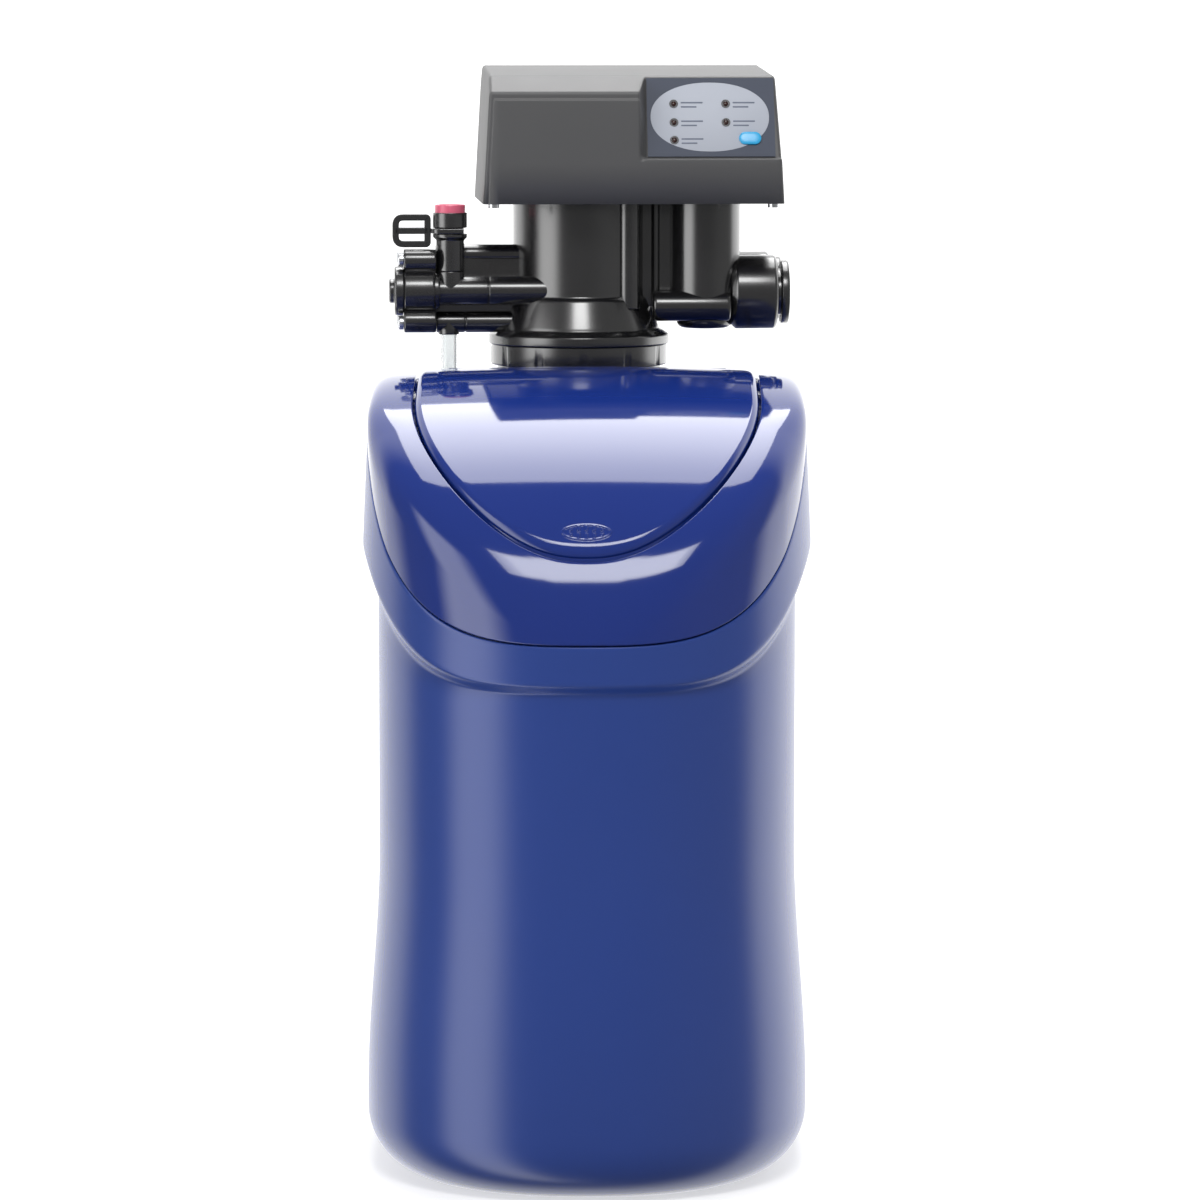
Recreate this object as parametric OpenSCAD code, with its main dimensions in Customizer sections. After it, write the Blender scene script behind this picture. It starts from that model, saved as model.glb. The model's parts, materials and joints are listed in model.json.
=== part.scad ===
// Water softener: brine cabinet with a hinged salt lid, pressure vessel, control valve and timer head.
// Millimetres, +Z up, -Y to the front. The origin is the middle of the cabinet's underside.

/* [Cabinet] */
// Width across the shoulder band
cabinet_w = 245; // [235:1:270]
// Depth from the round front to the rear wall
cabinet_d = 400; // [390:1:440]
// Depth of the rounded front
front_bow = 130; // [115:1:145]
// Wall thickness of the cabinet
cabinet_wall = 4; // [3:0.5:6]
// Edge radius round the foot
foot_r = 34; // [26:1:40]
// How far the waist stands in from the shoulder band
waist_in = 8; // [4:0.5:12]
// How far the foot stands in from the shoulder band
base_in = 1.3; // [0:0.1:5]
// Height where the straight waist ends above the foot
waist_low_z = 178; // [150:1:220]
// How far the shoulder band's lower edge lies below the cover at the front
band_drop = 27; // [22:0.5:35]
// Rise of the band's lower edge from the front to the sides
band_rise = 40; // [30:1:50]
// How far the band stands proud at the front
band_proud = 6; // [3:0.5:8]
// Extra proudness of the band at the sides
band_flank_proud = 2.6; // [0:0.1:4]

/* [Top cover and lid] */
// Height of the crest of the top cover
crest_h = 435; // [430:1:445]
// How far the cover's lower edge lies below the crest at the front
cover_front_drop = 133.5; // [125:0.5:143]
// How far the cover's lower edge lies below the crest at the sides and rear
cover_side_drop = 22; // [20:1:38]
// Gap of the seam between cover and cabinet
seam_gap = 0.8; // [0.4:0.1:1.5]
// Edge radius between the cover's flanks and its top
cover_edge_r = 18; // [10:1:22]
// Skin thickness of cover, lid and deck
skin_t = 3; // [2:0.5:4]
// Width of the cover's rails beside the opening
rail_w = 27; // [24:1:32]
// Width of the cover's rim in front of the lid
nose_w = 15; // [12:1:20]
// Width of the cover's rim behind the deck
tail_w = 28; // [24:1:40]
// Depth of the ledge that carries the lid and the deck
ledge_drop = 10; // [8:0.5:14]
// Width of that ledge
ledge_w = 5; // [4:0.5:8]
// Gap round the lid
lid_gap = 1.2; // [0.8:0.1:2]
// How far the lid stands above the cover
lid_proud = 2.2; // [1.5:0.1:5]
// Edge radius of the lid
lid_edge_r = 4; // [2:0.5:5]
// Distance of the lid's rear edge in front of the vessel's axis
lid_tail_ahead = 86; // [84:1:88]
// Outside radius of the hinge barrel
hinge_r = 5; // [4:0.5:6]
// Radius of the hinge pin
hinge_pin_r = 2; // [1.5:0.1:2.5]

/* [Pressure vessel] */
// Radius of the vessel
vessel_r = 89; // [80:1:90]
// Wall thickness of the vessel
vessel_wall = 4; // [3:0.5:6]
// Height of each domed end
dome_h = 50; // [40:1:55]
// Outside radius of the neck
neck_r = 43; // [41:0.5:44]
// Sideways place of the vessel's axis
tank_x = -5; // [-8:1:0]
// Distance of the vessel's axis in front of the cabinet's rear
tank_back = 108; // [106:1:110]
// Radius of the riser tube
riser_r = 13.35; // [12:0.05:14]

/* [Control valve] */
// Turn of the valve on the vessel, to the right
valve_yaw = 3.5; // [0:0.5:6]
// Radius of the tank collar
collar_r = 50.6; // [49:0.2:54]
// Height of the tank collar above the neck
collar_h = 12; // [10:0.5:14]
// Radius of the valve's flange
flange_r = 52; // [51:0.5:55]
// Height of the valve's flange
flange_h = 7.5; // [6:0.5:10]
// Radius of the skirt above the flange
skirt_r = 40; // [39:0.5:44]
// Height of that skirt
skirt_h = 19.5; // [16:0.5:22]
// How far the valve's left arms end inside the cabinet's side
arm_inset = 20.5; // [18:0.5:24]
// Radius of the main column
column_r = 38; // [34:0.5:39]
// Height of the main column
column_h = 55; // [50:1:60]
// Radius of the second column
post_r = 20.4; // [18:0.2:22]
// Distance of the second column to the right
post_x = 72; // [68:1:74]
// Radius of the port tubes
port_r = 15.7; // [14:0.1:16]
// Radius of a port's push-fit cap
cap_r = 21.2; // [20:0.2:22]
// Length of a push-fit cap
cap_l = 27; // [24:1:30]
// Radius of the pipe that a port takes
pipe_r = 11; // [9:0.5:11]
// Stroke of the piston
piston_stroke = 14; // [10:1:16]

/* [Timer head] */
// Reach of the head to the left of the valve's axis
head_left = 57.6; // [54:0.2:62]
// Reach of the head to the right of the valve's axis
head_right = 113; // [110:1:120]
// Depth of the head in front of and behind the axis
head_half_d = 65; // [60:1:70]
// Height of the head's front face
head_front_h = 63; // [60:1:68]
// Height of the head at the rear
head_rear_h = 77; // [74:1:82]
// Wall thickness of the head's cover
head_wall = 2.5; // [2:0.1:3.5]
// Draft of the head's sides, in degrees
head_draft = 3.2; // [0:0.1:4]
// Height of the panel's lower lip above the head's underside
panel_lip = 25.6; // [22:0.1:28]
// Place of the panel's left edge
panel_x = 34.8; // [32:0.2:38]
// Depth of the panel's recess at its lip
panel_recess = 4; // [3:0.5:5]
// Lean of the panel, in degrees
panel_lean = 19; // [14:1:22]
// Travel of the button
button_travel = 0.8; // [0.5:0.1:0.9]

/* [Hidden] */

satin_blue = [0.15, 0.22, 0.50];
gloss_blue = [0.10, 0.16, 0.46];
valve_black = [0.09, 0.09, 0.10];
part_grey = [0.35, 0.36, 0.38];
steel = [0.75, 0.76, 0.78];

// Clearances: seats within one assembly, running fits, and loose gaps between moving faces
seat = 0.2;
running = 0.06;
loose = 0.3;
// Overlap of a cut past the face that it opens
cut = 1;

front_y = -cabinet_d / 2;
bow_y = front_y + front_bow;
tank_y = cabinet_d / 2 - tank_back;
lid_tail_y = tank_y - lid_tail_ahead;
cover_front_z = crest_h - cover_front_drop;
cover_side_z = crest_h - cover_side_drop;
band_front_z = cover_front_z - band_drop;
tail_d = cabinet_d - front_bow;
front_round = 2.3;
rear_round = 6;
panel_round = 12;

// Turns round an outline: the front half from -180 to 0 degrees, the rear half from 0 to 180
ring_steps = 80;
turns = [for (i = [0 : ring_steps - 1]) 360 * i / ring_steps - 180];

function spow(v, p) = sign(v) * pow(abs(v), p);
function ramp(v) = let (u = min(1, max(0, v))) u * u * (3 - 2 * u);
// A quarter of a box with round corners, as shares: even steps along its flank, then along its end
function corner(w, n, low) =
    let (c = pow(0.5, 1 / n), v = w < 0.5 ? low + (c - low) * 2 * w : 2 * c * (1 - w),
        u = pow(1 - pow(v, n), 1 / n))
    w < 0.5 ? [u, v] : [v, u];
// A closed plan outline: half-width a, reach f to the front of mid, reach r behind it
function oval(t, a, f, r, mid, nf, nr, low = 0) =
    t <= 0 ? [a * spow(cos(t), 2 / nf), mid + f * spow(sin(t), 2 / nf)] :
    let (side = t < 90 ? 1 : -1, q = corner(1 - abs(t - 90) / 90, nr, low))
    [side * a * q[0], mid + r * q[1]];
function plan(t, e) =
    oval(t, cabinet_w / 2 + e, front_bow + e, tail_d + e, bow_y, front_round, rear_round);
function plan_y(t) = plan(t, 0)[1];

// Height of the seam under the cover: a curve up from the front that levels off along the sides
seam_run = 65;
seam_rise = 51.2;
seam_power = 1.45;
seam_level = 6;
function seam_z(y) =
    let (q = seam_rise * pow(max(0, y - front_y) / seam_run, seam_power), h = cover_side_z - cover_front_z)
    cover_front_z + h * q / pow(pow(h, seam_level) + pow(q, seam_level), 1 / seam_level);
// Height of the band's lower edge, and how far round the flank a place lies
band_run = 110;
function band_z(y) = band_front_z + band_rise * ramp((y - front_y) / band_run);
function flank(y) = ramp((y - front_y) / front_bow);

// Offset of the cabinet's wall from its shoulder outline at a height and a depth
base_z = 45;
band_soft = 7;
band_flank_soft = 27;
shoulder_drop = 68;
shoulder_z = cover_side_z - shoulder_drop;
shoulder_draft = 0.045;
function band_step(y) = band_soft + band_flank_soft * flank(y);
function wall_off(z, y) =
    (waist_in - base_in) * ramp((waist_low_z - z) / (waist_low_z - base_z)) - waist_in
    + (band_proud + band_flank_proud * flank(y)) * ramp((z - band_z(y)) / band_step(y))
    - shoulder_draft * max(0, z - shoulder_z);

// Height of the cover's top: a quarter ellipse up to the crest, then a gentle fall to the rear
top_base_z = cover_front_z - 6.5;
top_reach = -front_y - waist_in + band_proud + 0.6;
tail_fall = 0.08;
crown = 1.8;
crown_half = 94;
function top_z(p) =
    (p[1] < 0 ? top_base_z + (crest_h - top_base_z) * sqrt(max(0, 1 - pow(p[1] / top_reach, 2)))
        : crest_h - tail_fall * p[1]) - crown * pow(p[0] / crown_half, 2);

// A closed surface through rings of points: a loop of rings, or capped to two middle points
module skin(rings, ends = []) {
    n = len(rings[0]);
    m = len(rings);
    looped = len(ends) == 0;
    walls = [for (r = [0 : m - (looped ? 1 : 2)], i = [0 : n - 1])
        let (a = r * n + i, b = r * n + (i + 1) % n, c = ((r + 1) % m) * n + (i + 1) % n,
            d = ((r + 1) % m) * n + i) each [[a, c, b], [a, d, c]]];
    caps = looped ? [] : [for (i = [0 : n - 1]) each
        [[m * n, i, (i + 1) % n], [m * n + 1, (m - 1) * n + (i + 1) % n, (m - 1) * n + i]]];
    polyhedron([for (ring = rings) each ring, each ends], concat(walls, caps), convexity = 10);
}

function at(p, z) = [p[0], p[1], z];

// Rings of the cabinet's wall at one offset from its outer face
foot_angles = [0, 22.5, 45, 67.5, 90];
wall_heights = [72, 105, 138, waist_low_z, (waist_low_z + band_front_z) / 2];
function foot_ring(angle, back) =
    let (z = foot_r - (foot_r - back) * cos(angle))
    [for (t = turns) at(plan(t, wall_off(z, plan_y(t)) - back - (foot_r - back) * (1 - sin(angle))), z)];
function level_ring(z, back) = [for (t = turns) at(plan(t, wall_off(z, plan_y(t)) - back), z)];
function band_ring(share, back) =
    [for (t = turns) let (y = plan_y(t), z = band_z(y) + share * band_step(y))
        at(plan(t, wall_off(z, y) - back), z)];
function rim_ring(lift, back) =
    [for (t = turns) let (y = plan_y(t), z = seam_z(y)) at(plan(t, wall_off(z, y) - back), z + lift)];
function wall_rings(back) = concat(
    [for (a = foot_angles) foot_ring(a, back)],
    [for (z = wall_heights) level_ring(z, back)],
    [for (s = [0, 0.3, 0.65, 1]) band_ring(s, back)],
    [rim_ring(0, back)]);
function reversed(list) = [for (i = [len(list) - 1 : -1 : 0]) list[i]];

module cabinet_body() {
    color(satin_blue)
        skin(concat(wall_rings(0), reversed(wall_rings(cabinet_wall))), [[0, 0, 0], [0, 0, cabinet_wall]]);
}

// The cover's opening: a U in front for the lid, and a bay behind for the valve
opening_a = cabinet_w / 2 - rail_w;
opening_f = front_bow - nose_w;
opening_r = tail_d - tail_w;
function opening(t, in) =
    oval(t, opening_a - in, opening_f - in, opening_r - in, bow_y, front_round, panel_round);
tongue_t = 2.5;
tongue_l = 8;
cover_in = cabinet_wall + loose + tongue_t;
cover_edge_share = 0.6;
function shoulder(t) = let (y = plan_y(t)) plan(t, wall_off(seam_z(y), y));
function edge_r(t) =
    let (y = plan_y(t)) min(cover_edge_r, cover_edge_share * (top_z(shoulder(t)) - seam_z(y) - seam_gap));
// A ring on the cover's top, a distance in from the shoulder or a share of the way to the opening
function cover_edge_ring(angle) =
    [for (t = turns) let (w = shoulder(t), q = opening(t, 0), r = edge_r(t),
        p = w + (q - w) * r * (1 - cos(angle)) / norm(q - w)) at(p, top_z(p) - r * (1 - sin(angle)))];
function cover_top_ring(share) =
    [for (t = turns) let (w = shoulder(t), q = opening(t, 0), r = edge_r(t), s = r / norm(q - w),
        p = w + (q - w) * (s + (1 - s) * share)) at(p, top_z(p))];
function opening_ring(in, drop) = [for (t = turns) let (p = opening(t, in)) at(p, top_z(p) - drop)];
function cover_inside_ring(share) =
    [for (t = turns) let (y = plan_y(t), w = plan(t, wall_off(seam_z(y), y) - cover_in),
        q = opening(t, -skin_t), p = w + (q - w) * share, r = edge_r(t))
        at(p, top_z(p) - skin_t - r * (1 - share))];

module top_cover() {
    color(gloss_blue)
        skin(concat(
            [rim_ring(seam_gap, 0)],
            [for (a = [0, 30, 60, 90]) cover_edge_ring(a)],
            [for (s = [0.25, 0.5, 0.75, 1]) cover_top_ring(s)],
            [opening_ring(0, ledge_drop), opening_ring(ledge_w, ledge_drop)],
            [opening_ring(ledge_w, ledge_drop + skin_t), opening_ring(-skin_t, ledge_drop + skin_t)],
            [cover_inside_ring(1), cover_inside_ring(0.4)],
            [rim_ring(-tongue_l, cover_in), rim_ring(-tongue_l, cabinet_wall + loose)],
            [rim_ring(seam_gap, cabinet_wall + loose)]));
}

// The salt lid: a crowned tray with a rounded edge, over the front of the opening
lid_mid = [0, bow_y];
function lid_outline(t, in) =
    oval(t, opening_a - lid_gap - in, opening_f - lid_gap - in, lid_tail_y - bow_y - in, bow_y,
        front_round, panel_round);
function lid_edge_ring(angle) =
    [for (t = turns) let (p = lid_outline(t, lid_edge_r * (1 - cos(angle))))
        at(p, top_z(p) + lid_proud - lid_edge_r * (1 - sin(angle)))];
function lid_share_ring(in, share, lift) =
    [for (t = turns) let (p = lid_mid + (lid_outline(t, in) - lid_mid) * share) at(p, top_z(p) + lift)];
module salt_lid() {
    under = lid_proud - skin_t;
    hem = loose - ledge_drop;
    color(gloss_blue)
        skin(concat(
            [for (s = [0.2, 0.5, 0.8, 1]) lid_share_ring(lid_edge_r, s, under)],
            [lid_share_ring(lid_edge_r, 1, hem), lid_share_ring(0, 1, hem)],
            [for (a = [0, 30, 60, 90]) lid_edge_ring(a)],
            [for (s = [0.8, 0.6, 0.4, 0.2]) lid_share_ring(lid_edge_r, s, lid_proud)]),
            [at(lid_mid, top_z(lid_mid) + under), at(lid_mid, top_z(lid_mid) + lid_proud)]);
}

// Height chain of the vessel and the valve
boot_lift = 8;
neck_drop = 2;
vessel_z = cabinet_wall + boot_lift;
neck_z = crest_h - neck_drop;
collar_z = neck_z + collar_h;
flange_z = collar_z + flange_h;
skirt_z = flange_z + skirt_h;
head_z = skirt_z + column_h;
port_z = skirt_z + 2.4;

// The deck round the vessel's neck, carried by the cover's ledge behind the lid
deck_drop = 2.6;
deck_gap = 1;
deck_front_y = lid_tail_y + 2 * hinge_r + 4;
deck_hole_r = neck_r + 6;
function deck_outline(t, in) =
    let (back = deck_gap + in, y = deck_front_y + in, reach = opening_r - back)
    t <= 0 ? [(opening_a - back) * cos(t), y] :
    oval(t, opening_a - back, opening_f, reach, bow_y, front_round, panel_round, (y - bow_y) / reach);
function deck_ring(in, drop) = [for (t = turns) let (p = deck_outline(t, in)) at(p, top_z(p) - drop)];
function deck_hole_ring(drop) =
    [for (t = turns) let (p = [tank_x + deck_hole_r * cos(t), tank_y + deck_hole_r * sin(t)])
        at(p, top_z(p) - drop)];
module rear_deck() {
    color(gloss_blue)
        difference() {
            skin([deck_ring(0, ledge_drop - 2 * seat), deck_ring(0, deck_drop), deck_hole_ring(deck_drop),
                deck_hole_ring(deck_drop + skin_t), deck_ring(skin_t, deck_drop + skin_t),
                deck_ring(skin_t, ledge_drop - 2 * seat)]);
            translate([brine_exit[0], brine_exit[1], crest_h])
                cylinder(r = brine_tube_r + 1.5, h = 6 * ledge_drop, center = true, $fn = 48);
        }
}

// The lid's hinge: barrels on the lid and on a rail across the opening, on one pin
hinge_y = lid_tail_y + hinge_r + 2;
hinge_z = crest_h - hinge_r + 0.5;
hinge_half = 78;
knuckle_w = 30;
knuckle_gap = 0.5;
web_t = 6;
rail_t = 2;
barrel_room = 0.5;
rail_top = hinge_z - hinge_r - barrel_room;
arm_places = [-hinge_half + knuckle_w / 2, 0, hinge_half - knuckle_w / 2];
rail_places = [for (i = [0, 1]) (arm_places[i] + arm_places[i + 1]) / 2];
rail_knuckle_w = arm_places[1] - arm_places[0] - knuckle_w - 2 * knuckle_gap;
module along_x(r, l, at = [0, 0, 0]) {
    translate(at)
        rotate([0, 90, 0])
            cylinder(r = r, h = l, $fn = 64);
}
module knuckle(x, w, back_y) {
    difference() {
        union() {
            along_x(hinge_r, w, [x - w / 2, hinge_y, hinge_z]);
            translate([x - w / 2, min(hinge_y, back_y), hinge_z - web_t / 2])
                cube([w, abs(back_y - hinge_y), web_t]);
        }
        along_x(hinge_pin_r + running, w + 2 * cut, [x - w / 2 - cut, hinge_y, hinge_z]);
    }
}
module lid_hinge_arms() {
    color(gloss_blue)
        for (x = arm_places)
            knuckle(x, knuckle_w, lid_tail_y + seat);
}
module hinge_knuckles() {
    rail_half = opening_a - deck_gap;
    color(gloss_blue) {
        translate([-rail_half, lid_tail_y + 2, rail_top - rail_t])
            cube([2 * rail_half, deck_front_y - lid_tail_y - 2 - seat, rail_t]);
        for (x = rail_places)
            difference() {
                union() {
                    along_x(hinge_r, rail_knuckle_w, [x - rail_knuckle_w / 2, hinge_y, hinge_z]);
                    translate([x - rail_knuckle_w / 2, hinge_y - web_t / 2, rail_top])
                        cube([rail_knuckle_w, web_t, hinge_z - rail_top]);
                }
                along_x(hinge_pin_r + running, rail_knuckle_w + 2 * cut,
                    [x - rail_knuckle_w / 2 - cut, hinge_y, hinge_z]);
            }
    }
}
module lid_hinge_pin() {
    color(steel)
        along_x(hinge_pin_r, 2 * hinge_half, [-hinge_half, hinge_y, hinge_z]);
}

// Places in the valve's own frame: its axis is the vessel's, its front faces -Y, turned by the yaw
module on_valve() {
    translate([tank_x, tank_y, 0])
        rotate([0, 0, valve_yaw])
            children();
}
function valve_point(x, y) = [tank_x + x * cos(valve_yaw) - y * sin(valve_yaw),
    tank_y + x * sin(valve_yaw) + y * cos(valve_yaw)];

// Brine well, pickup and float, in the salt compartment
well_r = 32;
well_wall = 2;
well_x = -53;
well_ahead = 144;
well_y = tank_y - well_ahead;
well_drop = 59;
well_top = crest_h - well_drop;
well_cap_t = 4;
well_slots = 6;
well_slot_w = 6;
well_slot_h = 40;
well_slot_z = 10;
pickup_r = 6;
pickup_elbow_z = well_top + 18;
pickup_foot_r = 16;
pickup_foot_h = 50;
float_r = 24;
float_h = 36;
float_z = 84;
float_travel = 80;
stop_r = 10;
stop_h = 4;
module brine_well() {
    color([0.93, 0.93, 0.90])
        translate([well_x, well_y, cabinet_wall])
            difference() {
                cylinder(r = well_r, h = well_top - cabinet_wall, $fn = 64);
                translate([0, 0, -cut])
                    cylinder(r = well_r - well_wall, h = well_top, $fn = 64);
                for (i = [0 : well_slots - 1])
                    rotate([0, 0, 360 * i / well_slots])
                        translate([well_r - 2 * well_wall, -well_slot_w / 2, well_slot_z])
                            cube([4 * well_wall, well_slot_w, well_slot_h]);
            }
}
module brine_well_cap() {
    color([0.93, 0.93, 0.90])
        translate([well_x, well_y, well_top])
            difference() {
                cylinder(r = well_r + 2, h = well_cap_t, $fn = 64);
                translate([0, 0, -cut])
                    cylinder(r = pickup_r + seat, h = well_cap_t + 2 * cut, $fn = 48);
            }
}
module brine_pickup() {
    foot_z = cabinet_wall + seat;
    color(part_grey)
        translate([well_x, well_y, 0])
            difference() {
                union() {
                    translate([0, 0, foot_z])
                        cylinder(r = pickup_foot_r, h = pickup_foot_h, $fn = 48);
                    translate([0, 0, foot_z])
                        cylinder(r = pickup_r, h = pickup_elbow_z + pickup_r - foot_z, $fn = 48);
                    for (z = [float_z - loose - stop_h, float_z + float_h + float_travel + loose])
                        translate([0, 0, z])
                            cylinder(r = stop_r, h = stop_h, $fn = 48);
                    translate([0, 0, well_top + well_cap_t])
                        cylinder(r = stop_r, h = stop_h, $fn = 48);
                    translate([0, 0, pickup_elbow_z])
                        rotate([-90, 0, 0])
                            cylinder(r = pickup_r + 1, h = pickup_arm, $fn = 48);
                }
                translate([0, 0, pickup_elbow_z])
                    rotate([-90, 0, 0])
                        translate([0, 0, pickup_arm - brine_grip])
                            cylinder(r = brine_tube_r + running, h = brine_grip + cut, $fn = 48);
            }
}
module float() {
    color([0.95, 0.80, 0.30])
        translate([well_x, well_y, float_z])
            difference() {
                cylinder(r = float_r, h = float_h, $fn = 64);
                translate([0, 0, -cut])
                    cylinder(r = pickup_r + loose, h = float_h + 2 * cut, $fn = 48);
            }
}

// Clear tube from the brine connector through the deck to the pickup's elbow, held at both ends
brine_tube_r = 4.75;
brine_tube_wall = 1.2;
brine_grip = 10;
pickup_arm = 26;
block_w = 19;
block_left = arm_inset - cabinet_w / 2;
block_right = block_left + block_w;
brine_room = 7.4;
brine_x = block_right + brine_room;
brine_y = -14;
brine_exit = valve_point(brine_x, brine_y);
brine_cup = 5;
brine_top_z = flange_z + 4;
brine_bend = 38;
brine_low_z = pickup_elbow_z;
brine_side_z = brine_low_z + brine_bend;
brine_end = [well_x, well_y + pickup_arm - brine_grip, brine_low_z];
brine_sides = 12;
brine_bend_steps = 6;
brine_run_steps = 6;
function brine_path() =
    let (arc_y = brine_exit[1] - brine_bend, from = [brine_exit[0], arc_y, brine_low_z])
    concat(
        [[brine_exit[0], brine_exit[1], brine_top_z]],
        [for (i = [0 : brine_bend_steps]) let (a = 90 * i / brine_bend_steps)
            [brine_exit[0], arc_y + brine_bend * cos(a), brine_side_z - brine_bend * sin(a)]],
        [for (i = [1 : brine_run_steps]) let (u = i / (brine_run_steps + 1))
            [from[0] + (brine_end[0] - from[0]) * ramp(u),
                from[1] + (brine_end[1] + brine_grip - from[1]) * u, brine_low_z]],
        [brine_end + [0, brine_grip, 0], brine_end]);
function unit(v) = v / norm(v);
function tube_rings(path, r, sides) =
    [for (k = [0 : len(path) - 1])
        let (d = unit(path[min(k + 1, len(path) - 1)] - path[max(k - 1, 0)]),
            side = unit(cross(d, [1, 0, 0])), up = cross(side, d))
        [for (i = [0 : sides - 1]) let (a = 360 * i / sides) path[k] + r * (cos(a) * side + sin(a) * up)]];
module brine_tube() {
    path = brine_path();
    color([0.85, 0.88, 0.90])
        skin(concat(tube_rings(path, brine_tube_r - brine_tube_wall, brine_sides),
            reversed(tube_rings(path, brine_tube_r, brine_sides))));
}

// Pressure vessel on its boot
dome_steps = 8;
shoulder_top = neck_z - 22;
shoulder_low = shoulder_top - dome_h;
function low_dome(r, h, steps) =
    [for (i = [0 : steps]) let (a = 90 - 90 * i / steps) [r * cos(a), vessel_z + dome_h - h * sin(a)]];
function high_dome(r, neck, h, steps) =
    [for (i = [0 : steps]) let (a = 90 * i / steps)
        [neck + (r - neck) * cos(a), shoulder_low + h * sin(a)]];
module pressure_vessel() {
    w = vessel_wall;
    color([0.16, 0.20, 0.42])
        translate([tank_x, tank_y, 0])
            rotate_extrude($fn = 96)
                polygon(concat(
                    low_dome(vessel_r, dome_h, dome_steps), high_dome(vessel_r, neck_r, dome_h, dome_steps),
                    [[neck_r, neck_z], [neck_r - 1.5 * w, neck_z]],
                    reversed(high_dome(vessel_r - w, neck_r - 1.5 * w, dome_h - w, dome_steps)),
                    reversed(low_dome(vessel_r - w, dome_h - w, dome_steps))));
}
boot_foot_r = 68;
boot_rise = 44;
module vessel_boot() {
    rim = vessel_r + 3;
    seat_r = vessel_r + loose;
    seat_h = dome_h + loose;
    rim_a = asin((dome_h + vessel_z - boot_rise) / seat_h);
    ring_a = 60;
    color(valve_black)
        translate([tank_x, tank_y, 0])
            rotate_extrude($fn = 96)
                polygon(concat(
                    [[boot_foot_r, cabinet_wall], [rim, cabinet_wall + 0.6 * (rim - boot_foot_r)],
                        [rim, boot_rise]],
                    [for (i = [0 : dome_steps]) let (a = rim_a + (ring_a - rim_a) * i / dome_steps)
                        [seat_r * cos(a), vessel_z + dome_h - seat_h * sin(a)]],
                    [[seat_r * cos(ring_a), cabinet_wall]]));
}
module tank_collar() {
    grip_h = 14;
    color(valve_black)
        on_valve()
            rotate_extrude($fn = 96)
                polygon([[spigot_r + seat, neck_z], [collar_r, neck_z], [collar_r, collar_z],
                    [spigot_r + seat, collar_z]]);
    color(valve_black)
        on_valve()
            rotate_extrude($fn = 96)
                polygon([[neck_r + seat, neck_z - grip_h], [neck_r + 4, neck_z - grip_h],
                    [neck_r + 4, neck_z], [neck_r + seat, neck_z]]);
}
strainer_h = 46;
strainer_r = 24;
strainer_lift = 3;
strainer_bars = 16;
top_strainer_h = 34;
riser_wall = 2.5;
riser_low = vessel_z + vessel_wall + strainer_lift + strainer_h;
spigot_r = 32.4;
spigot_l = 24;
spigot_z = collar_z - spigot_l;
module riser_tube() {
    color([0.90, 0.90, 0.88])
        on_valve()
            translate([0, 0, riser_low])
                difference() {
                    cylinder(r = riser_r, h = collar_z - riser_low, $fn = 64);
                    translate([0, 0, -cut])
                        cylinder(r = riser_r - riser_wall, h = collar_z - riser_low + 2 * cut, $fn = 64);
                }
}
// A slotted basket: a cup of vertical bars between two end rings
module basket(r, bore, h, bars) {
    ring_h = 5;
    difference() {
        cylinder(r = r, h = h, $fn = 64);
        translate([0, 0, ring_h])
            cylinder(r = r - 2, h = h - 2 * ring_h, $fn = 64);
        translate([0, 0, -cut])
            cylinder(r = bore, h = h + 2 * cut, $fn = 64);
        for (i = [0 : bars - 1])
            rotate([0, 0, 360 * i / bars])
                translate([bore, -1, ring_h])
                    cube([r, 2, h - 2 * ring_h]);
    }
}
module bottom_strainer() {
    color([0.90, 0.90, 0.88])
        on_valve()
            translate([0, 0, riser_low - strainer_h])
                basket(strainer_r, riser_r - riser_wall, strainer_h, strainer_bars);
}
module top_strainer() {
    color([0.90, 0.90, 0.88])
        on_valve()
            translate([0, 0, spigot_z - top_strainer_h])
                basket(strainer_r, riser_r + seat, top_strainer_h, strainer_bars);
}
resin_top = 300;
resin_gap = 1;
module resin_bed() {
    w = vessel_wall + resin_gap;
    color([0.62, 0.42, 0.18])
        translate([tank_x, tank_y, 0])
            rotate_extrude($fn = 96)
                polygon(concat(
                    [[strainer_r + loose, vessel_z + dome_h]],
                    [for (i = [0 : dome_steps]) let (a = 60 - 60 * i / dome_steps)
                        [(vessel_r - w) * cos(a), vessel_z + dome_h - (dome_h - w) * sin(a)]],
                    [[vessel_r - w, resin_top], [riser_r + loose, resin_top],
                        [riser_r + loose, riser_low + loose], [strainer_r + loose, riser_low + loose]]));
}
module o_ring(major, minor) {
    rotate_extrude($fn = 96)
        translate([major, 0])
            circle(r = minor, $fn = 32);
}
seal_r = 2.2;
riser_seal_r = 1.8;
seal_lift = 5;
neck_bore = neck_r - 1.5 * vessel_wall;
module neck_seal() {
    color([0.05, 0.05, 0.05])
        on_valve()
            translate([0, 0, spigot_z + seal_lift])
                o_ring(neck_bore - seal_r - seat, seal_r);
}
module riser_seal() {
    color([0.05, 0.05, 0.05])
        on_valve()
            translate([0, 0, spigot_z + seal_lift])
                o_ring(riser_r + seat + riser_seal_r, riser_seal_r);
}

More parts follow.
